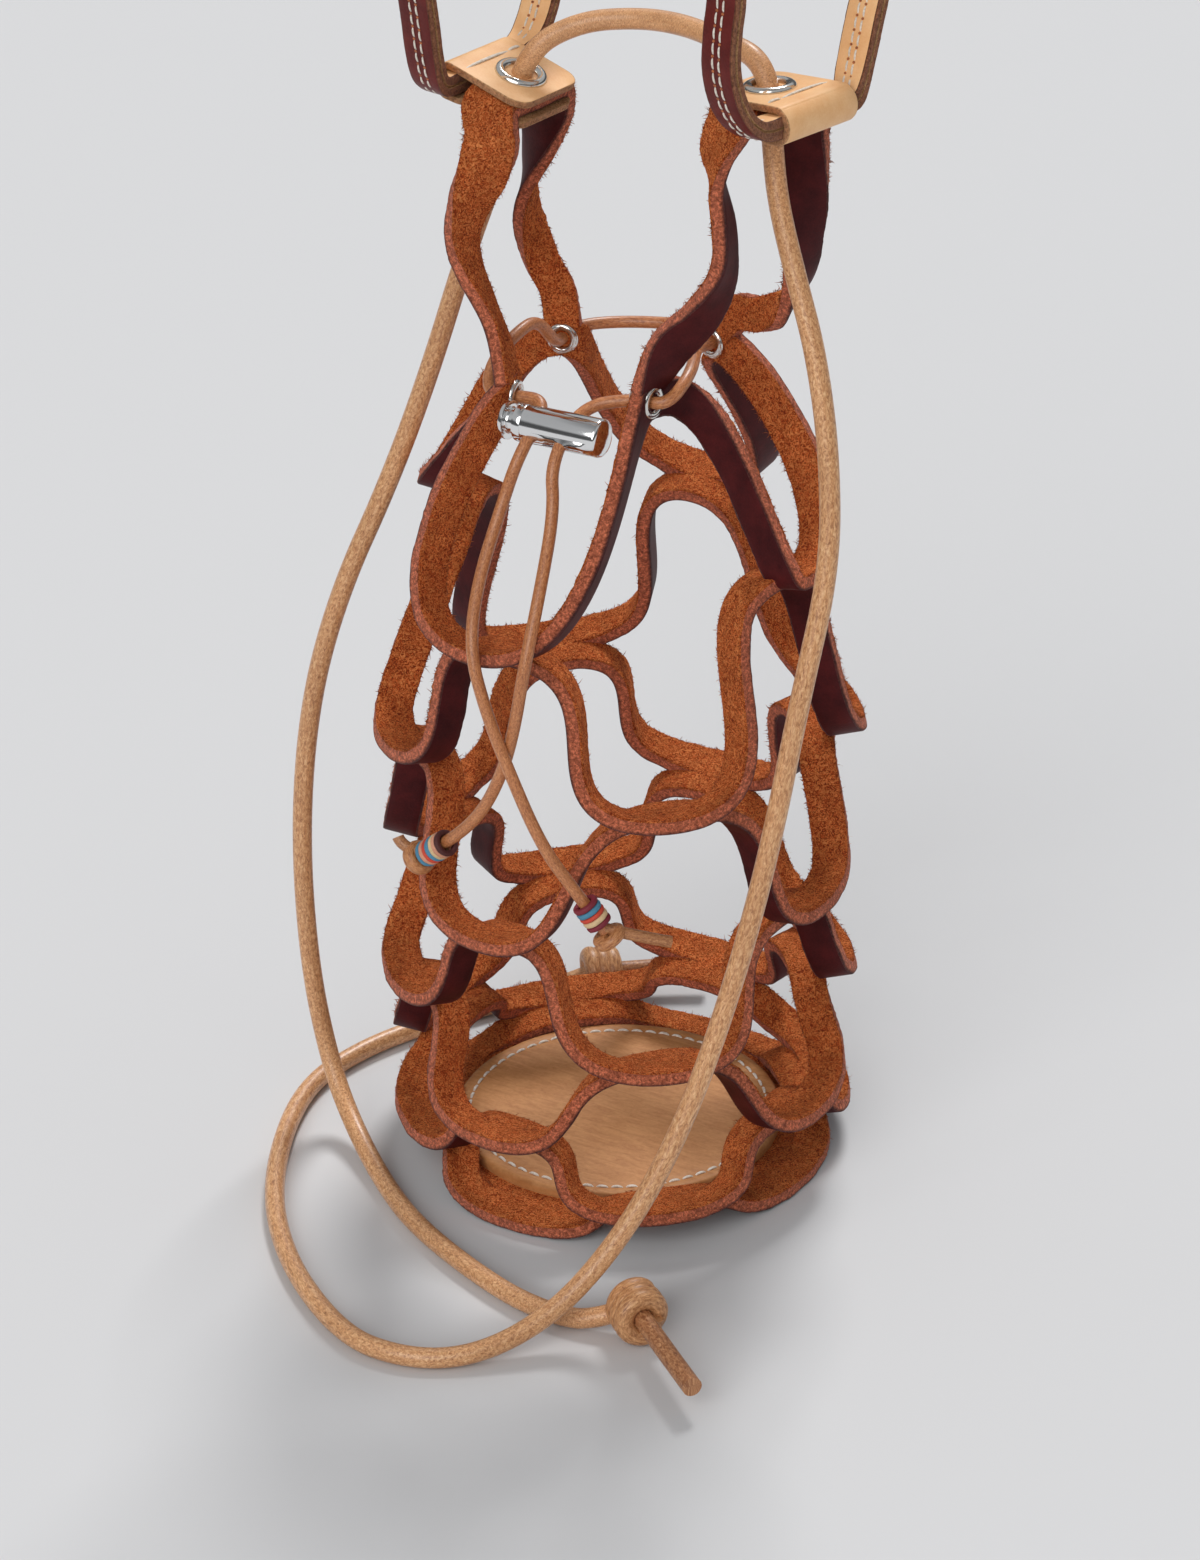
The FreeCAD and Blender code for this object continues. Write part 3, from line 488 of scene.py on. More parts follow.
def half_strip(row, cell, hand):
    low_turn, low_z, low_radius = joint(row - 1, cell)
    other = cell + (hand - 1) // 2 if row % 2 else cell + (hand + 1) // 2
    high_turn, high_z, high_radius = joint(row, other)
    offset = (WIDE - LAP) / 2
    low_tilt = 0 if row == 1 else TILT
    low_radius += offset * cos(low_tilt)
    out = []
    for step in range(STEPS + 1):
        u = step / STEPS
        ease = u * u * (3 - 2 * u)
        if row < ROWS:
            low_run, high_run = LEANS.get((row, cell, hand), RUNS[row - 1])
            reach = high_turn - low_turn
            top = high_z - 2 * offset * sin(TILT)
            near = low_turn + low_run * reach
            turn = bezier(low_turn, near, high_turn - high_run * reach, high_turn, u)
            height = bezier(low_z, low_z, top, top, u)
            inward = ease * ease if row == 1 else ease
            radius = low_radius + (high_radius - offset * cos(TILT) - low_radius) * inward
            lean = low_tilt + (TILT - low_tilt) * ease
            spot = polar(turn, radius, height)
            lie = polar(turn, cos(lean), sin(lean))
        else:
            foot = polar(low_turn, low_radius, low_z)
            plate = polar(high_turn, high_radius, high_z)
            along = polar(FACING[other % CELLS] - 90, 1)
            cell_run, plate_run = SIDE_RUNS.get((cell, hand), TOP_RUN)
            near = foot + polar(low_turn + 90, hand * cell_run)
            spot = bezier(foot, near, plate - along * (hand * plate_run), plate, u)
            lean = low_tilt + (pi / 2 - low_tilt) * ease
            lie = Vector((spot.x, spot.y, 0)).normalized() * cos(lean) + UP * sin(lean)
        inner = WEB * max(0.0, 1 - u / WEB_SHARE)
        outer = WEB * max(0.0, 1 - (1 - u) / WEB_SHARE) if row < ROWS else 0.0
        out.append((spot, lie, inner, outer))
    return out


def row_frames(row):
    points = []
    for cell in range(CELLS):
        points += half_strip(row, cell, -1)[:0:-1] + half_strip(row, cell, 1)[:-1]
    alongs = directions([point[0] for point in points], True)
    frames = []
    wides = []
    for (centre, lie, inner, outer), along in zip(points, alongs):
        across = (lie - along * lie.dot(along)).normalized()
        frames.append((centre + across * ((outer - inner) / 2), across, along.cross(across)))
        wides.append(WIDE + inner + outer)
    return frames, wides


for row in range(1, ROWS + 1):
    frames, wides = row_frames(row)
    name = "net_strip_%d" % row
    made = strap(name, frames, wides, THICK, True, NET)
    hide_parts("net_row_%d" % row)
    fuzz(name + "_fuzz", frames, wides, THICK, FUZZ, "dark_leather", row)


def plate_frame(cell):
    turn, height, radius = joint(ROWS, cell)
    return polar(turn, radius, height), polar(FACING[cell], 1)


# Tab frames with x outward, y along the sleeve and z up: place, yaw and pitch
TABS = {
    "left": (Vector((-23.3, 0, 278.2)), 174.0, 18.0),
    "right": (Vector((43.3, 0, 284.4)), -13.0, 4.0),
}
TAB_WIDE = 24.0
TAB_THICK = 1.7
TAB_ROUND = 5
TAB_ROUND_START = -4.5
TAB_TOP = THICK / 2 + TAB_THICK
SLEEVE_BORE = 2.88
SLEEVE_ROLL = 3.73
SLEEVE = Vector((11.3, 0, THICK / 2 - SLEEVE_BORE))


def tab_frame(hand):
    spot, yaw, pitch = TABS[hand]
    turn = Matrix.Rotation(radians(yaw), 4, "Z") @ Matrix.Rotation(radians(-pitch), 4, "Y")
    return Matrix.Translation(spot) @ turn


# Hoops from plate to plate over the crown: x, y, share of the height, facing, width
LEGS = {
    ("left", "front"): [
        (-18.0, -19.5, 0.17, 8, 8.6), (-23.8, -16.4, 0.28, 8, 8.4), (-28.6, -15.2, 0.39, 2, 8.8),
        (-30.4, -14.9, 0.50, -10, 9.4), (-28.6, -14.6, 0.62, -30, 10.4),
        (-24.8, -14.1, 0.75, -60, 12.0), (-22.4, -13.8, 0.87, -85, 13.0),
    ],
    ("left", "back"): [
        (-23.6, 16.8, 0.17, -60, 8.6), (-27.6, 16.4, 0.28, -38, 8.4), (-30.0, 15.6, 0.39, -12, 8.8),
        (-30.6, 15.0, 0.50, 12, 9.4), (-29.0, 14.6, 0.62, 35, 10.4), (-26.0, 14.2, 0.75, 62, 12.0),
        (-23.4, 13.8, 0.87, 85, 13.0),
    ],
    ("right", "front"): [
        (25.8, -16.0, 0.19, 144, 10.4), (32.4, -14.4, 0.30, 148, 9.8),
        (37.2, -13.6, 0.42, 166, 9.2), (39.0, -13.6, 0.53, 186, 8.6), (38.6, -13.6, 0.64, 192, 8.6),
        (37.0, -13.6, 0.76, 206, 9.0), (37.0, -13.6, 0.87, 238, 10.4),
    ],
    ("right", "back"): [
        (23.4, 22.0, 0.13, 240, 8.6), (31.0, 20.2, 0.15, 216, 8.4), (38.0, 18.4, 0.21, 192, 8.8),
        (42.4, 16.8, 0.33, 172, 9.4), (43.8, 15.6, 0.48, 150, 10.4), (44.0, 14.8, 0.64, 120, 12.0),
        (44.0, 14.0, 0.81, 95, 13.0),
    ],
}
# Top plate that each leg stands on
PLATES = {("left", "front"): 3, ("left", "back"): 2, ("right", "front"): 0, ("right", "back"): 1}
CROWN_WIDE = 13.0
HOOP_SPANS = 14


def hoop_frames(hand):
    place = tab_frame(hand)
    turn = place.to_3x3()
    edge = TAB_WIDE / 2
    crown = [(-1.2, -edge * 0.98, -1.4, 42), (-1.2, -edge * 0.72, 0, 90), (-1.2, 0, 0, 90)]
    keys = []
    for end in ("front", "back"):
        centre, inward = plate_frame(PLATES[(hand, end)])
        rise = place.translation.z - centre.z
        leg = [(centre + UP * 2.2, inward, WIDE)]
        for x, y, share, facing, wide in LEGS[(hand, end)]:
            leg.append((Vector((x, y, centre.z + share * rise)), polar(facing, 1), wide))
        sense = 1 if (hand == "right") == (end == "front") else -1
        for x, y, z, lift in crown[: 3 if end == "front" else 2]:
            face = Vector((0, -sense * cos(radians(lift)), sin(radians(lift))))
            leg.append((place @ Vector((x, sense * y, z)), turn @ face, CROWN_WIDE))
        keys = keys + leg if end == "front" else keys + leg[::-1]
    centres, faces, wides = smooth_keys(keys, HOOP_SPANS)
    out = []
    for centre, face, along in zip(centres, faces, directions(centres, False)):
        face = (face - along * face.dot(along)).normalized()
        out.append((centre, along.cross(-face), -face))
    return out, wides


for hand in HANDS:
    frames, wides = hoop_frames(hand)
    made = strap(hand + "_hoop_strap", frames, wides, THICK - 0.1, False, NET)
    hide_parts(hand + "_hoop")
    seed = HOOP_SEED + len(hand)
    fuzz(hand + "_hoop_fuzz", frames, wides, THICK, FUZZ, "dark_leather", seed, closed=False)


# Tabs: one strip of tan leather folded round the sleeve
def tab_path():
    lift = THICK / 2 + TAB_THICK / 2
    spots = [Vector((x, 0, lift)) for x in (-9.5, -8, -6, -4, -2, 0, 2, 4, 6, 8)]
    for turn in range(75, -106, -15):
        angle = radians(turn)
        spots.append(SLEEVE + Vector((SLEEVE_ROLL * cos(angle), 0, SLEEVE_ROLL * sin(angle))))
    spots += [Vector((7.4, 0, -4.2)), Vector((5.0, 0, -3.2)), Vector((3.0, 0, -lift - 0.1))]
    spots += [Vector((x, 0, -lift)) for x in (0, -2, -4, -6, -8, -9.5)]
    return smooth(spots, 6)


for hand in HANDS:
    place = tab_frame(hand)
    turn = place.to_3x3()
    spots = tab_path()
    frames = []
    wides = []
    for spot, along in zip(spots, directions(spots, False)):
        trim = max(0.0, TAB_ROUND_START - spot.x)
        chord = sqrt(max(0.0, TAB_ROUND * TAB_ROUND - trim * trim))
        wides.append(TAB_WIDE - 2 * (TAB_ROUND - chord) * 0.8)
        normal = Vector((0, 1, 0)).cross(along)
        frames.append((place @ spot, turn @ Vector((0, -1, 0)), turn @ -normal))
    name = hand + "_tab_leather"
    mats = (TAN, TAN_FLESH, TAN_EDGE)
    made = strap(
        name, frames, wides, TAB_THICK, False, mats, rag=0.08, corner=0.3
    )
    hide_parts(hand + "_tab")


# Handles: a strap in two layers, squeezed together inside the sleeve
# Each leg from the sleeve up: share of the spread beyond it, share of the height, of the width
HANDLE_LEGS = {
    ("left", "front"): [
        (0.25, 0.006, 0.74), (0.46, 0.028, 0.92), (0.62, 0.08, 1.0), (0.78, 0.17, 1.0),
        (0.94, 0.26, 1.0), (1.0, 0.333, 1.0),
    ],
    ("left", "back"): [
        (0.2, 0.01, 0.72), (0.486, 0.032, 0.92), (0.75, 0.088, 1.0), (0.93, 0.176, 1.0),
        (1.0, 0.287, 1.0),
    ],
    ("right", "front"): [
        (0.29, 0.003, 0.72), (0.625, 0.015, 0.9), (0.96, 0.046, 1.0), (1.21, 0.097, 1.0),
        (1.31, 0.162, 1.0), (1.22, 0.23, 1.0), (1.06, 0.305, 1.0),
    ],
    ("right", "back"): [
        (0.167, 0.0075, 0.72), (0.27, 0.04, 0.92), (0.46, 0.094, 1.0), (0.68, 0.154, 1.0),
        (0.9, 0.214, 1.0), (1.0, 0.29, 1.0),
    ],
}
# The round top: share of the spread, share of the height
HANDLE_TOP = [(1.0, 0.46), (0.96, 0.64), (0.86, 0.80), (0.66, 0.92), (0.36, 0.985), (0.0, 1.0)]
HANDLE_SPREAD = {"left": 26.5, "right": 24.5}
HANDLE_HIGH = 108.0
HANDLE_WIDE = 8.8
HANDLE_SPANS = 12
HANDLE_LEAN = 4
LAYER = 1.8
# Width of the strap inside the sleeve as a share of the full width, and what it gains in thickness
ROD_SHARE = 0.6
ROD_GAIN = 0.8


def rod_frame(hand):
    lean = Matrix.Rotation(radians(TABS[hand][2] - HANDLE_LEAN), 4, "Y")
    return tab_frame(hand) @ Matrix.Translation(SLEEVE) @ lean


def leg_keys(hand, end):
    half = TAB_WIDE / 2 + 0.5
    widest = HANDLE_SPREAD[hand]
    sense = 1 if (hand == "left") == (end == "front") else -1
    keys = [
        (Vector((0, 0, 0)), ROD_SHARE),
        (Vector((0, sense * half * 0.6, 0)), ROD_SHARE),
        (Vector((0, sense * half, 0)), ROD_SHARE + 0.02),
    ]
    for out, rise, wide in HANDLE_LEGS[(hand, end)]:
        spread = half + (widest - half) * out
        keys.append((Vector((0, sense * spread, HANDLE_HIGH * rise)), wide))
    for out, rise in HANDLE_TOP:
        keys.append((Vector((0, sense * widest * out, HANDLE_HIGH * rise)), 1.0))
    return keys


def handle_keys(hand):
    ends = ("front", "back") if hand == "left" else ("back", "front")
    keys = leg_keys(hand, ends[0]) + leg_keys(hand, ends[1])[-2::-1]
    return smooth_keys(keys, HANDLE_SPANS)


def layer_frames(hand, sense):
    place = rod_frame(hand)
    turn = place.to_3x3()
    spots, shares = handle_keys(hand)
    frames = []
    wides = []
    thicks = []
    for spot, share, along in zip(spots, shares, directions(spots, False)):
        outside = along.cross(Vector((1, 0, 0)))
        thick = LAYER + ROD_GAIN * max(0.0, (1 - share) / (1 - ROD_SHARE))
        centre = place @ (spot + outside * (sense * thick / 2))
        frames.append((centre, turn @ Vector((sense, 0, 0)), turn @ (outside * sense)))
        wides.append(HANDLE_WIDE * share)
        thicks.append(thick)
    return frames, wides, thicks


STITCH_RINGS = 7
STITCH_SIDES = 8


# Corners of the four-sided faces round a tube, ring after ring
def tube_faces(base, rings, sides):
    faces = []
    for ring in range(rings - 1):
        low = base + ring * sides
        for k in range(sides):
            n = (k + 1) % sides
            faces.append((low + k, low + n, low + sides + n, low + sides + k))
    return faces


# Adds a row of stitches along a strap's face, and a needle hole after each where asked
def stitch_run(
    points, faces, frames, pitch, long, radius, first, lift=0, shift=0, spare=0.0, pricks=None
):
    places = []
    for centre, across, through in frames:
        places.append((centre + across * shift + through * lift, across, through))
    marks = [0.0]
    for a, b in zip(places, places[1:]):
        marks.append(marks[-1] + (b[0] - a[0]).length)

    def at(distance):
        spot = 0
        while spot < len(marks) - 2 and marks[spot + 1] < distance:
            spot += 1
        u = (distance - marks[spot]) / (marks[spot + 1] - marks[spot])
        a, b = places[spot], places[spot + 1]
        return a[0].lerp(b[0], u), a[1].lerp(b[1], u), a[2].lerp(b[2], u)

    start = first
    while start + long < marks[-1] - spare:
        if start > spare:
            base = len(points)
            for ring in range(STITCH_RINGS):
                u = ring / (STITCH_RINGS - 1)
                centre, across, through = at(start + long * u)
                arch = sin(pi * u)
                rise = through * (radius * (1.15 * arch ** 0.5 - 0.55))
                centre = centre + rise + across * (0.16 * (u - 0.5))
                thin = radius * (0.55 + 0.45 * arch ** 0.5)
                for k in range(STITCH_SIDES):
                    angle = 2 * pi * k / STITCH_SIDES
                    rim = across * (thin * 1.15 * cos(angle))
                    points.append(centre + rim + through * (thin * 0.8 * sin(angle)))
            faces += tube_faces(base, STITCH_RINGS, STITCH_SIDES)
            if pricks is not None:
                centre, across, through = at(start + long + (pitch - long) / 2)
                ahead = across.cross(through)
                for k in range(STITCH_SIDES):
                    angle = 2 * pi * k / STITCH_SIDES
                    rim = across * (0.42 * cos(angle))
                    pricks.append(centre + through * 0.06 + rim + ahead * (0.34 * sin(angle)))
                pricks.append(centre + through * 0.1)
        start += pitch


# Layers of a handle: name, side that its grain faces, grain and slot
LAYERS = [("outer", 1, STRAP_GRAIN, "maroon_leather"), ("lining", -1, TAN, "tan_leather")]
# The two rows of stitches: place across the strap, start along it
STITCH_ROWS = [(-0.9, 0.8), (0.9, 1.4)]
HANDLE_STITCH = {"pitch": 3.3, "long": 2.6, "radius": 0.25, "lift": LAYER / 2, "spare": 13.5}
PRICK_POINTS = STITCH_SIDES + 1
for hand in HANDS:
    body = hand + "_handle"
    for layer, sense, skin, slot in LAYERS:
        frames, wides, thicks = layer_frames(hand, sense)
        name = "%s_strap_%s" % (hand, layer)
        mats = (skin, TAN_FLESH, STRAP_EDGE)
        made = strap(
            name, frames, wides, LAYER, False, mats, body, rag=0.1, corner=0.35, thicks=thicks
        )
        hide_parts("%s_handle_%s" % (hand, layer))
        points = []
        faces = []
        pricks = []
        for shift, first in STITCH_ROWS:
            places = {"first": first, "shift": shift, "pricks": pricks}
            stitch_run(points, faces, frames, **places, **HANDLE_STITCH)
        piece("%s_%s_stitches" % (hand, layer), points, faces, [THREAD], body)
        fans = []
        for n in range(0, len(pricks), PRICK_POINTS):
            for k in range(STITCH_SIDES):
                fans.append((n + STITCH_SIDES, n + k, n + (k + 1) % STITCH_SIDES))
        piece("%s_%s_pricks" % (hand, layer), pricks, fans, [PRICK], body)
    frames, wides, _ = layer_frames(hand, 1)
    name = hand + "_strap_fuzz"
    seed = HANDLE_SEED + len(hand)
    thin = {"per_mm": 2.0, "reach": 0.4, "closed": False}
    fuzz(name, frames, wides, LAYER, STRAP_EDGE, "maroon_leather", seed, body, **thin)


# Turned pieces: a profile of (radius, along) spun round an axis
def turned(
    name, profile, place, mats, slot, body="carrier", sides=48, closed=True, wobble=0.0
):
    points = []
    faces = []
    count = len(profile)
    for step in range(sides):
        angle = 2 * pi * step / sides
        for radius, along in profile:
            spot = place @ Vector((radius * cos(angle), radius * sin(angle), along))
            if wobble:
                shake = noise.noise(spot * 0.9) * wobble
                reach = radius + shake
                spot = place @ Vector((reach * cos(angle), reach * sin(angle), along + shake * 0.4))
            points.append(spot)
    for step in range(sides):
        other = (step + 1) % sides
        for k in range(count if closed else count - 1):
            n = (k + 1) % count
            faces.append((step * count + k, other * count + k, other * count + n, step * count + n))
    return piece(name, points, faces, mats, body)


# Frame at a centre with z along an axis
def facing(centre, axis):
    return Matrix.Translation(centre) @ axis.to_track_quat("Z", "Y").to_matrix().to_4x4()


# Profile of an eyelet with its top rolled over, and its foot flat or rolled too
def rolled(bore, barrel, flange, height, sheet, flat):
    profile = []
    for step in range(9):
        turn = radians(180 - 180 * step / 8)
        middle = (bore + flange) / 2
        profile.append((middle + (flange - bore) / 2 * cos(turn), height + sheet * sin(turn)))
    profile += [(flange - 0.1, height - 0.15), (barrel, height - 0.15)]
    if flat:
        profile += [(barrel, -height), (bore, -height)]
    else:
        profile += [(barrel, 0.15 - height), (flange - 0.2, 0.15 - height), (flange, -height)]
        low = -height - sheet * 0.8
        profile += [(flange - 0.3, low), (bore + 0.3, low), (bore, -height)]
    return profile


NET_EYELET = rolled(2.1, 2.6, 4.0, THICK / 2, 0.9, False)
TAB_EYELET = rolled(3.8, 4.3, 6.3, TAB_TOP, 1.25, True)
WASHER = [(4.3, 0), (6.3, 0), (6.3, 0.4), (6.0, 0.8), (4.6, 0.8), (4.3, 0.5)]
TAB_SEAM_X = 8.6
TAB_SEAM_HALF = 10.5
TAB_SEAM_STEPS = 40
for cell in range(CELLS):
    name = "net_eyelet_%d" % (cell + 1)
    made = turned(name, NET_EYELET, facing(*plate_frame(cell)), [NICKEL], "nickel")
    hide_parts("string_eyelet_%d" % (cell + 1))
for hand in HANDS:
    place = tab_frame(hand)
    made = turned(hand + "_ring", TAB_EYELET, place, [NICKEL], "nickel", sides=64)
    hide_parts(hand + "_tab_eyelet")
    under = [(radius, -TAB_TOP - drop) for radius, drop in WASHER]
    made = turned(hand + "_washer", under, place, [NICKEL], "nickel", sides=64)
    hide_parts(hand + "_tab_washer")
    turn = place.to_3x3()
    line = []
    for step in range(TAB_SEAM_STEPS):
        y = -TAB_SEAM_HALF + 2 * TAB_SEAM_HALF * step / (TAB_SEAM_STEPS - 1)
        spot = place @ Vector((TAB_SEAM_X, y, TAB_TOP))
        line.append((spot, turn @ Vector((1, 0, 0)), turn @ UP))
    points = []
    faces = []
    for long, first in ((4.2, 0.1), (16.4, 4.4)):
        stitch_run(points, faces, line, pitch=30, long=long, radius=0.38, first=first)
    made = piece(hand + "_tab_stitch", points, faces, [THREAD], "carrier")
    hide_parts(hand + "_tab_thread")

# Base: dark disc, tan insert with a ring of stitches
BASE = {"sides": 128, "closed": False}
SEAM_RADIUS = 38.8
SEAM_HIGH = 6.5
disc = [(0.0, 0.0), (46.2, 0.0), (46.9, 0.5), (47.0, 1.8), (46.9, 3.3), (46.4, 3.7), (0.0, 3.7)]
made = turned("base_leather", disc, Matrix(), [NET_FLESH], "dark_leather", **BASE)
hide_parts("base_disc")
insert = [(0.0, 6.7), (20.0, 6.7), (36.0, 6.7), (37.8, 6.65), (38.8, 6.35), (39.6, 6.6)]
insert += [(40.6, 6.7), (41.8, 6.65), (42.3, 6.3), (42.4, 5.2), (42.2, 3.7)]
made = turned("insert_leather", insert, Matrix(), [INSERT], "tan_leather", wobble=0.12, **BASE)
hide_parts("base_insert")
circle = []
for step in range(361):
    circle.append((polar(step, SEAM_RADIUS, SEAM_HIGH), polar(step, 1), UP))
points = []
faces = []
stitch_run(points, faces, circle, pitch=3.72, long=3.0, radius=0.36, first=0.1)
made = piece("base_stitches", points, faces, [THREAD], "carrier")
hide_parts("base_seam")

# Cord lock: chrome barrel and plunger, each with two cord holes, and the spring inside
LOCK = Matrix.Translation(Vector((4.5, -29.5, 207.8))) @ Matrix.Rotation(radians(90), 4, "Y")
LOCK_SIDES = 72
HOLE_DIP = Vector((0, -cos(radians(30)), -sin(radians(30))))
HOLES = [Vector((-2.7, -29.5, 207.8)), Vector((5.8, -29.5, 207.8))]
BORE_SIDES = 32
BORE_REACH = 14
SHARP = radians(38)


# Cuts the cord holes through a piece, each stretched along the lock on one side
def bored(obj, radius, stretch):
    for centre in HOLES:
        slot = []
        for step in range(BORE_SIDES):
            angle = 2 * pi * step / BORE_SIDES
            push = stretch if cos(angle) * stretch < 0 else 0.0
            slot.append(Vector((radius * cos(angle) - push, radius * sin(angle), 0)))
        across = Vector((1, 0, 0))
        up = HOLE_DIP.cross(across)
        points = []
        for depth in (-BORE_REACH, BORE_REACH):
            points += [centre + across * spot.x + up * spot.y + HOLE_DIP * depth for spot in slot]
        faces = [tuple(range(BORE_SIDES)), tuple(range(2 * BORE_SIDES - 1, BORE_SIDES - 1, -1))]
        for k in range(BORE_SIDES):
            n = (k + 1) % BORE_SIDES
            faces.append((k, k + BORE_SIDES, n + BORE_SIDES, n))
        mesh = new_mesh("cutter", points, faces)
        tool = shown("cutter", mesh)
        bore = obj.modifiers.new("bore", "BOOLEAN")
        bore.operation = "DIFFERENCE"
        bore.solver = "EXACT"
        bore.object = tool
        bpy.context.view_layer.update()
        shape = obj.evaluated_get(bpy.context.evaluated_depsgraph_get())
        cut = bpy.data.meshes.new_from_object(shape)
        obj.modifiers.clear()
        old = obj.data
        obj.data = cut
        bpy.data.meshes.remove(old)
        bpy.data.objects.remove(tool)
        bpy.data.meshes.remove(mesh)
    obj.data.polygons.foreach_set("use_smooth", [True] * len(obj.data.polygons))
    obj.data.set_sharp_from_angle(angle=SHARP)


SPRING_LOW = 3.5
SPRING_HIGH = 8.5
barrel = [(3.25, -11.5), (4.15, -11.5), (4.5, -11.35), (4.6, -10.9), (4.6, -9.4), (4.5, -9.2)]
barrel += [(4.6, -9.0), (4.6, 10.3), (4.5, 10.7), (4.2, 11.0), (3.4, 11.25), (2.0, 11.42)]
barrel += [(0.01, 11.5), (0.01, SPRING_HIGH), (3.25, SPRING_HIGH)]
made = turned("lock_shell", barrel, LOCK, [CHROME], "chrome_plate", "lock", sides=LOCK_SIDES)
bored(made, 2.2, -1.3)
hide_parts("lock_barrel")
plunger = [(0.01, -15.1), (3.9, -15.1), (4.5, -14.95), (4.7, -14.5), (4.65, -14.0), (4.4, -13.9)]
plunger += [(3.3, -13.9), (3.1, -13.7), (3.1, SPRING_LOW), (0.01, SPRING_LOW)]
made = turned("lock_button", plunger, LOCK, [CHROME], "chrome_plate", "plunger", sides=LOCK_SIDES)
bored(made, 1.8, 2.0)
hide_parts("lock_plunger")
WIRE_SIDES = 8
COIL_STEPS = 20


# The spring's wire is swept along its turns, which lie closer together at both ends
def coil_spring(name, place, low, high, radius, wire, turns):
    points = []
    steps = turns * COIL_STEPS
    for step in range(steps + 1):
        share = step / steps
        ease = share * share * (3 - 2 * share)
        angle = 2 * pi * turns * share
        for k in range(WIRE_SIDES):
            out = 2 * pi * k / WIRE_SIDES
            reach = radius + wire / 2 * cos(out)
            along = low + wire / 2 + (high - low - wire) * ease + wire / 2 * sin(out)
            points.append(place @ Vector((reach * cos(angle), reach * sin(angle), along)))
    last = steps * WIRE_SIDES
    faces = tube_faces(0, steps + 1, WIRE_SIDES)
    faces += [tuple(range(WIRE_SIDES - 1, -1, -1)), tuple(range(last, last + WIRE_SIDES))]
    return piece(name, points, faces, [STEEL], "lock")


made = coil_spring("lock_coil", LOCK, SPRING_LOW, SPRING_HIGH, 2.4, 0.6, 4)
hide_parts("lock_spring")
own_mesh(made)


# Round cord along a spline that has the route's points as control points
def tube(name, spots, diameter, mat, nodes):
    data = bpy.data.curves.new(name, "CURVE")
    data.dimensions = "3D"
    data.bevel_depth = diameter / 2 * MM
    data.bevel_resolution = 7
    data.resolution_u = 16
    data.use_fill_caps = True
    data.materials.append(mat)
    spline = data.splines.new("NURBS")
    spline.points.add(len(spots) - 1)
    for point, spot in zip(spline.points, spots):
        point.co = (*(Vector(spot) * MM), 1)
    spline.order_u = 3
    spline.use_endpoint_u = True
    obj = shown(name, data)
    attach(obj, "carrier")
    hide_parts(*nodes)
    return obj


# The same, with the diameter and look of a kind of cord; the route is in millimetres
def cord(name, spots, kind, node):
    diameter, mat, slot = kind
    tube(name, spots, diameter, mat, [node])


STRING = 3.0
THONG = 5.0
# Height of the thong's middle where it lies on the floor
FLOOR = 2.6


# Place on the axis of a net eyelet, so far inward
def through(cell, depth):
    centre, inward = plate_frame(cell)
    return centre + inward * depth


# Looks of the cords, their knots and loose ends: three colours, length for the flecks, gloss
CORD_LOOKS = [
    ("string_cord", (134, 74, 42), (188, 117, 70), (218, 154, 102), 0.17, 0.5),
    ("thong_cord", (152, 98, 60), (210, 151, 101), (244, 199, 149), 0.45, 0.5),
    ("thong_knot", (134, 84, 50), (192, 135, 88), (228, 178, 128), 0.07, 0.2),
    ("thong_end", (112, 64, 40), (170, 112, 72), (214, 162, 116), 0.03, 0.2),
    ("string_knot", (132, 76, 43), (190, 124, 76), (222, 164, 112), 0.03, 0.25),
    ("string_end", (120, 70, 42), (172, 114, 72), (208, 154, 106), 0.015, 0.3),
]
looks = {}
for name, dark, middle, light, length, gloss in CORD_LOOKS:
    looks[name] = wound(name, tint(*dark), tint(*middle), tint(*light), length, gloss)
STRING_KIND = (STRING, looks["string_cord"], "string_leather")
THONG_KIND = (THONG, looks["thong_cord"], "shoulder_cord")
ring_route = [
    HOLES[0], HOLES[0] - HOLE_DIP * 7.5, through(3, 1), through(3, -5.5), (-22.5, -16.0, 215.5),
    (-21.5, -6.0, 219.5), (-21.0, 3.0, 220.0), through(2, 7), through(2, -7), (-14.5, 33.0, 210.5),
    (3.5, 36.5, 211.5), through(1, -8.5), through(1, 6), (20.2, 6.8, 218.6), (27.4, -8.6, 219.0),
    through(0, -6), through(0, 2.4), HOLES[1] - HOLE_DIP * 8, HOLES[1],
]
cord("drawstring", ring_route, STRING_KIND, "drawstring_ring")
long_route = [
    HOLES[0], HOLES[0] + HOLE_DIP * 9, (-6.0, -40.0, 191.0), (-5.4, -52.8, 176.5),
    (-1.8, -63.2, 164.0), (3.2, -64.8, 150.0), (8.6, -65.4, 138.0), (16.3, -63.0, 117.0),
    (23.4, -59.4, 104.6), (29.6, -56.2, 94.0),
]
cord("long_tail", long_route, STRING_KIND, "string_tail_long")
short_route = [
    HOLES[1], HOLES[1] + HOLE_DIP * 9, (8.1, -40.0, 191.7), (11.6, -53.5, 176.5),
    (12.8, -63.2, 161.5), (9.6, -62.6, 146.0), (5.6, -62.2, 133.0), (0.4, -63.0, 122.0),
    (-7.7, -63.4, 113.0), (-17.6, -61.6, 105.2),
]
cord("short_tail", short_route, STRING_KIND, "string_tail_short")
lefts = tab_frame("left")
rights = tab_frame("right")
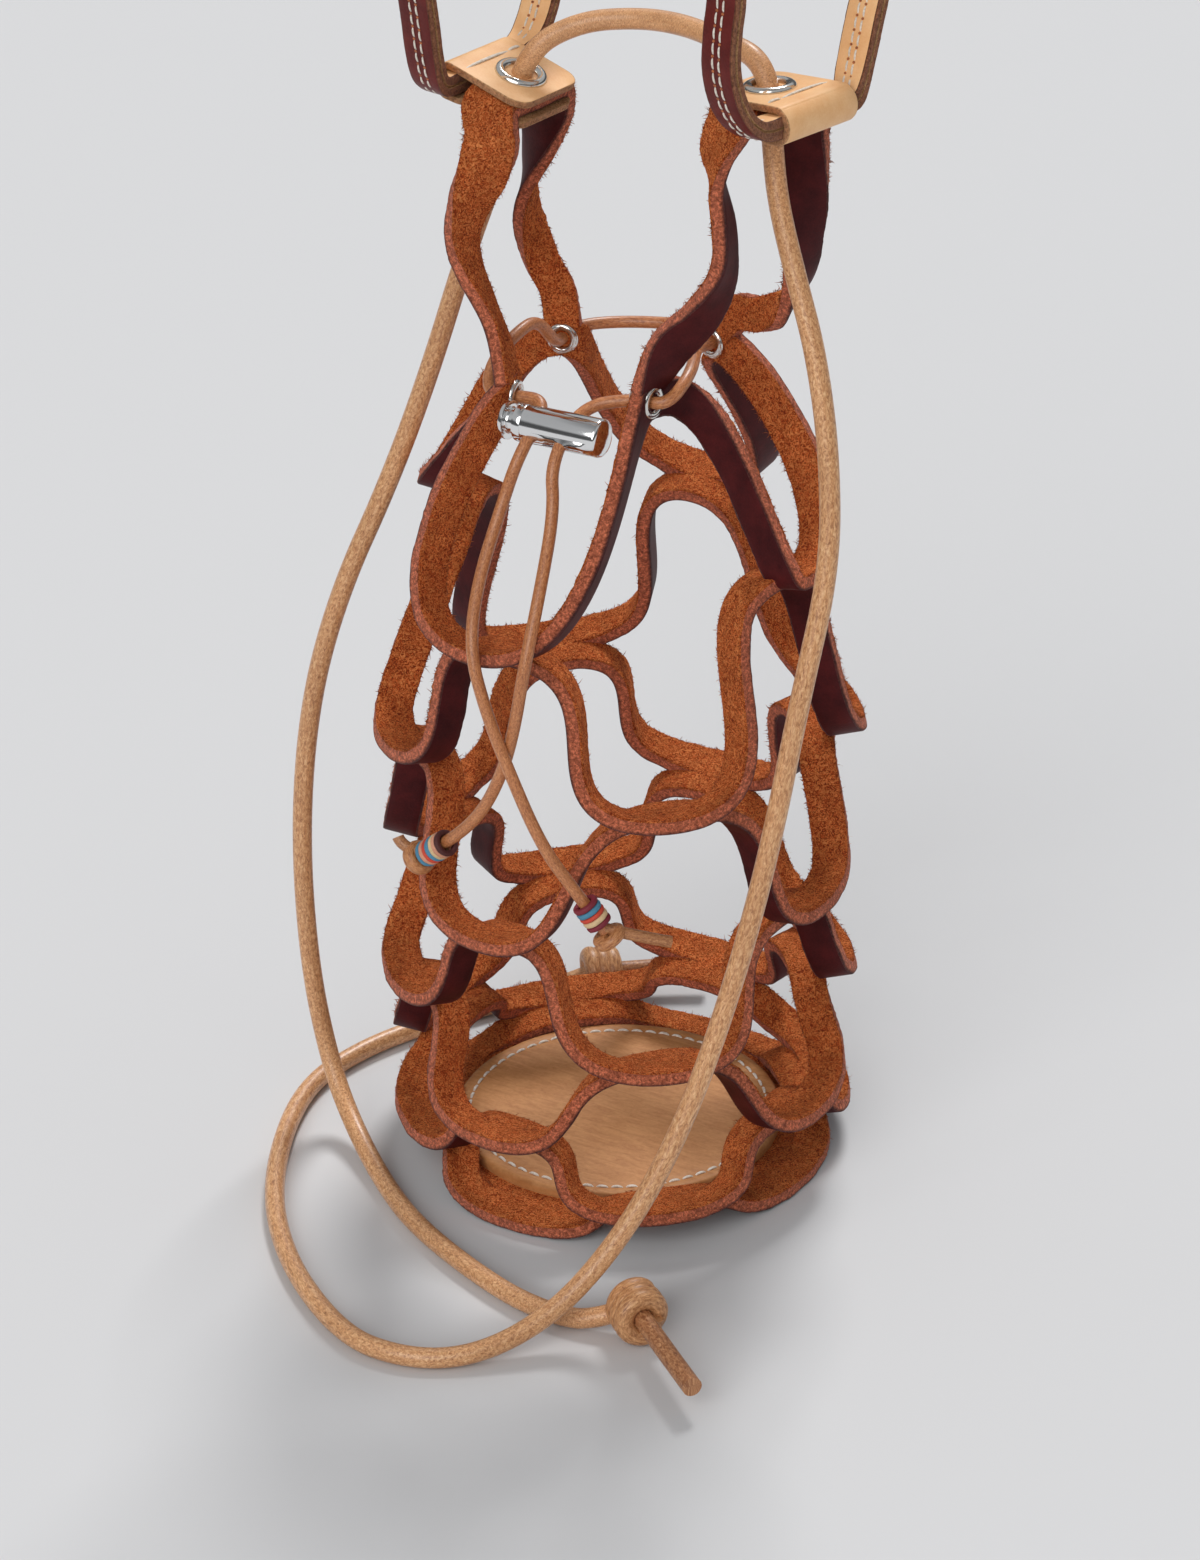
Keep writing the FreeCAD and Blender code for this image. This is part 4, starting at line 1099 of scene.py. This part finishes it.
left_route = [
    lefts @ Vector((0, 0, 0)), lefts @ Vector((0, 0, -10)), (-29.5, -1.5, 256.0),
    (-36.5, -4.0, 236.0), (-44.2, -9.4, 206.9), (-53.0, -15.6, 178.7), (-64.1, -23.2, 149.8),
    (-71.8, -27.6, 119.6), (-75.4, -29.7, 82.8), (-74.4, -30.2, 45.0), (-70.0, -30.0, 18.0),
    (-59.0, -37.5, 6.0), (-38.0, -55.0, FLOOR), (-17.8, -69.5, FLOOR), (13.5, -82.8, FLOOR),
    (30.0, -85.5, FLOOR), (41.0, -84.5, 3.4), (49.0, -79.0, 7.3),
]
cord("shoulder_left", left_route, THONG_KIND, "shoulder_cord_left")
top_route = [
    lefts @ Vector((0, 0, 0)), lefts @ Vector((0, 0, 10)), (-11.0, 8.0, 293.5), (2.0, 12.5, 295.0),
    (14.0, 11.5, 295.5), (26.0, 7.0, 295.0), rights @ Vector((-1, 1, 9)),
    rights @ Vector((0, 0, 0)),
]
cord("shoulder_top", top_route, THONG_KIND, "shoulder_cord_top")
right_route = [
    rights @ Vector((0, 0, 0)), rights @ Vector((0, 0, -10)), (47.0, -3.0, 262.0),
    (53.0, -6.0, 247.0), (60.5, -9.6, 230.0), (66.3, -13.7, 207.0), (69.7, -19.8, 182.0),
    (67.6, -30.2, 152.8), (65.0, -39.9, 117.2), (61.2, -50.1, 86.3), (55.7, -62.5, 55.5),
    (48.6, -74.7, 32.0), (39.0, -87.0, 14.0), (31.0, -99.5, 6.0), (21.0, -111.5, FLOOR),
    (8.0, -118.5, FLOOR), (-10.0, -117.5, FLOOR), (-40.0, -96.9, FLOOR), (-63.8, -68.1, FLOOR),
    (-81.4, -27.5, FLOOR), (-78.6, -2.5, FLOOR), (-70.2, 17.1, FLOOR), (-58.0, 38.0, FLOOR),
    (-49.0, 50.0, 3.4), (-40.0, 57.0, 7.3),
]
cord("shoulder_right", right_route, THONG_KIND, "shoulder_cord_right")


KNOT_STEPS = 10
KNOT_PITCH = 0.86
KNOT_RADIUS = 0.97
KNOT_TUCK = 0.55
KNOT_LOOSE = 0.97


# Knots: turns of the cord round its own loose end
def knot(name, centre, axis, turns, tail, kind, node):
    diameter, mat, end_mat, slot = kind
    u = axis.orthogonal().normalized()
    v = axis.cross(u)
    spots = []
    total = int(turns * KNOT_STEPS)
    for step in range(-2, total + 3):
        share = step / total
        angle = 2 * pi * turns * share
        radius = diameter * (KNOT_RADIUS if 0 <= share <= 1 else KNOT_TUCK)
        along = diameter * KNOT_PITCH * (turns - 1) * (min(max(share, 0), 1) - 0.5)
        spots.append(centre + axis * along + (u * cos(angle) + v * sin(angle)) * radius)
    tube(name, spots, diameter, mat, [node])
    loose = [centre - axis * diameter] + tail
    tube(name + "_end", loose, diameter * KNOT_LOOSE, end_mat, [])


THONG_KNOT = (THONG, looks["thong_knot"], looks["thong_end"], "shoulder_cord")
STRING_KNOT = (STRING, looks["string_knot"], looks["string_end"], "string_leather")
# Knots of the shoulder cord: centre, axis and tip of the loose end
front_axis = Vector((0.77, -0.637, 0)).normalized()
THONG_KNOTS = [
    ("front", Vector((51.0, -80.6, 7.3)), front_axis, Vector((78.0, -102.6, 8.0))),
    ("back", Vector((-38.0, 58.5, 7.3)), Vector((0.8, 0.6, 0)), Vector((-14.0, 74.5, 8.0))),
]
for end, centre, axis, tip in THONG_KNOTS:
    tail = [centre + axis * 14, tip]
    knot(end + "_cord_knot", centre, axis, 2.7, tail, THONG_KNOT, end + "_knot")
# Colours of the beads
BEADS = {
    "dark": tint(80, 38, 36), "blue": tint(82, 142, 172), "red": tint(214, 76, 54),
    "cream": tint(228, 196, 150), "pink": tint(222, 156, 126), "wine": tint(134, 42, 56),
}


def bead_look(colour):
    dark, light = [(*(value * part for value in BEADS[colour][:3]), 1) for part in (0.75, 1.15)]
    return grain("bead_" + colour, dark, light, 0.6)


bead_looks = {colour: bead_look(colour) for colour in BEADS}


# Beads along the last stretch of a tail, from the top down: height and colour of each
def bead_stack(name, route, start, beads):
    along = (Vector(route[-1]) - Vector(route[-2])).normalized()
    spot = Vector(route[-2]) + along * start
    for number, (high, colour) in enumerate(beads, start=1):
        h = high - 0.04
        profile = [(2.0, 0.25), (2.2, 0.04), (2.9, 0.04), (3.2, 0.2), (3.32, h / 2)]
        profile += [(3.2, h - 0.16), (2.9, h), (2.2, h), (2.0, h - 0.2)]
        made = turned(
            "%s_stack_%d" % (name, number),
            profile,
            facing(spot, along),
            [bead_looks[colour]],
            "bead_" + {"wine": "dark"}.get(colour, colour),
            name + "_beads",
            sides=36,
            wobble=0.07,
        )
        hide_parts("%s_bead_%d" % (name, number))
        spot = spot + along * high
    return along


LONG_BEADS = [(1.4, "wine"), (1.5, "blue"), (1.2, "red"), (1.5, "cream"), (1.4, "wine")]
SHORT_BEADS = [(1.4, "dark"), (1.3, "pink"), (1.2, "cream"), (1.5, "blue"), (1.2, "red")]
SHORT_BEADS += [(1.3, "pink"), (1.3, "blue")]
LONG_END = [Vector((36.4, -52.4, 92.6)), Vector((42.6, -47.6, 90.4))]
SHORT_END = [Vector((-22.8, -62.4, 105.8)), Vector((-24.6, -61.8, 108.6))]
TAILS = [
    ("long", long_route, 3.4, LONG_BEADS, LONG_END),
    ("short", short_route, 2.6, SHORT_BEADS, SHORT_END),
]
for name, route, start, beads, tail in TAILS:
    axis = bead_stack(name, route, start, beads)
    spot = Vector(route[-1]) + axis * (STRING * 0.6)
    knot(name + "_string_knot", spot, axis, 1.4, tail, STRING_KNOT, name + "_tail_knot")

# Floor and soft studio light
FLOOR_HALF = 6
FLOOR_LOW = -0.0002
DOME_STRENGTH = 0.52
floor_look = Look("floor", Roughness=0.9, Base_Color=tint(213, 213, 214), Specular_IOR_Level=0.0)
corners = [(-1, -1), (1, -1), (1, 1), (-1, 1)]
spots = [(x * FLOOR_HALF, y * FLOOR_HALF, FLOOR_LOW) for x, y in corners]
mesh = bpy.data.meshes.new("floor")
mesh.from_pydata(spots, [], [(0, 1, 2, 3)])
mesh.materials.append(floor_look.mat)
shown("floor", mesh)

world = bpy.data.worlds.new("studio")
scene.world = world
world.use_nodes = True
sky = world.node_tree
heading = sky.nodes.new("ShaderNodeTexCoord").outputs["Generated"]
parts = sky.nodes.new("ShaderNodeSeparateXYZ")
sky.links.new(heading, parts.inputs["Vector"])
dome = sky.nodes.new("ShaderNodeValToRGB")
# Brightness of the dome by the height of the direction, 0 level and 1 straight up
DOME = [(0.0, 0.5), (0.03, 0.16), (0.28, 0.14), (0.42, 0.85), (0.8, 0.8), (1.0, 0.4)]
stops = [(spot, (level * 0.985, level, level * 1.02, 1)) for spot, level in DOME]
set_ramp(dome.color_ramp, stops)
sky.links.new(parts.outputs["Z"], dome.inputs["Fac"])
sky.links.new(dome.outputs["Color"], sky.nodes["Background"].inputs["Color"])
sky.nodes["Background"].inputs["Strength"].default_value = DOME_STRENGTH


def sun(name, azimuth, elevation, strength, spread):
    lamp = bpy.data.lights.new(name, "SUN")
    lamp.energy = strength
    lamp.angle = radians(spread)
    towards = polar(azimuth, cos(radians(elevation)), sin(radians(elevation)))
    shown(name, lamp).rotation_euler = towards.to_track_quat("Z", "Y").to_euler()


sun("key", 104, 54, 1.9, 16)
sun("fill", -84, 32, 1.35, 45)
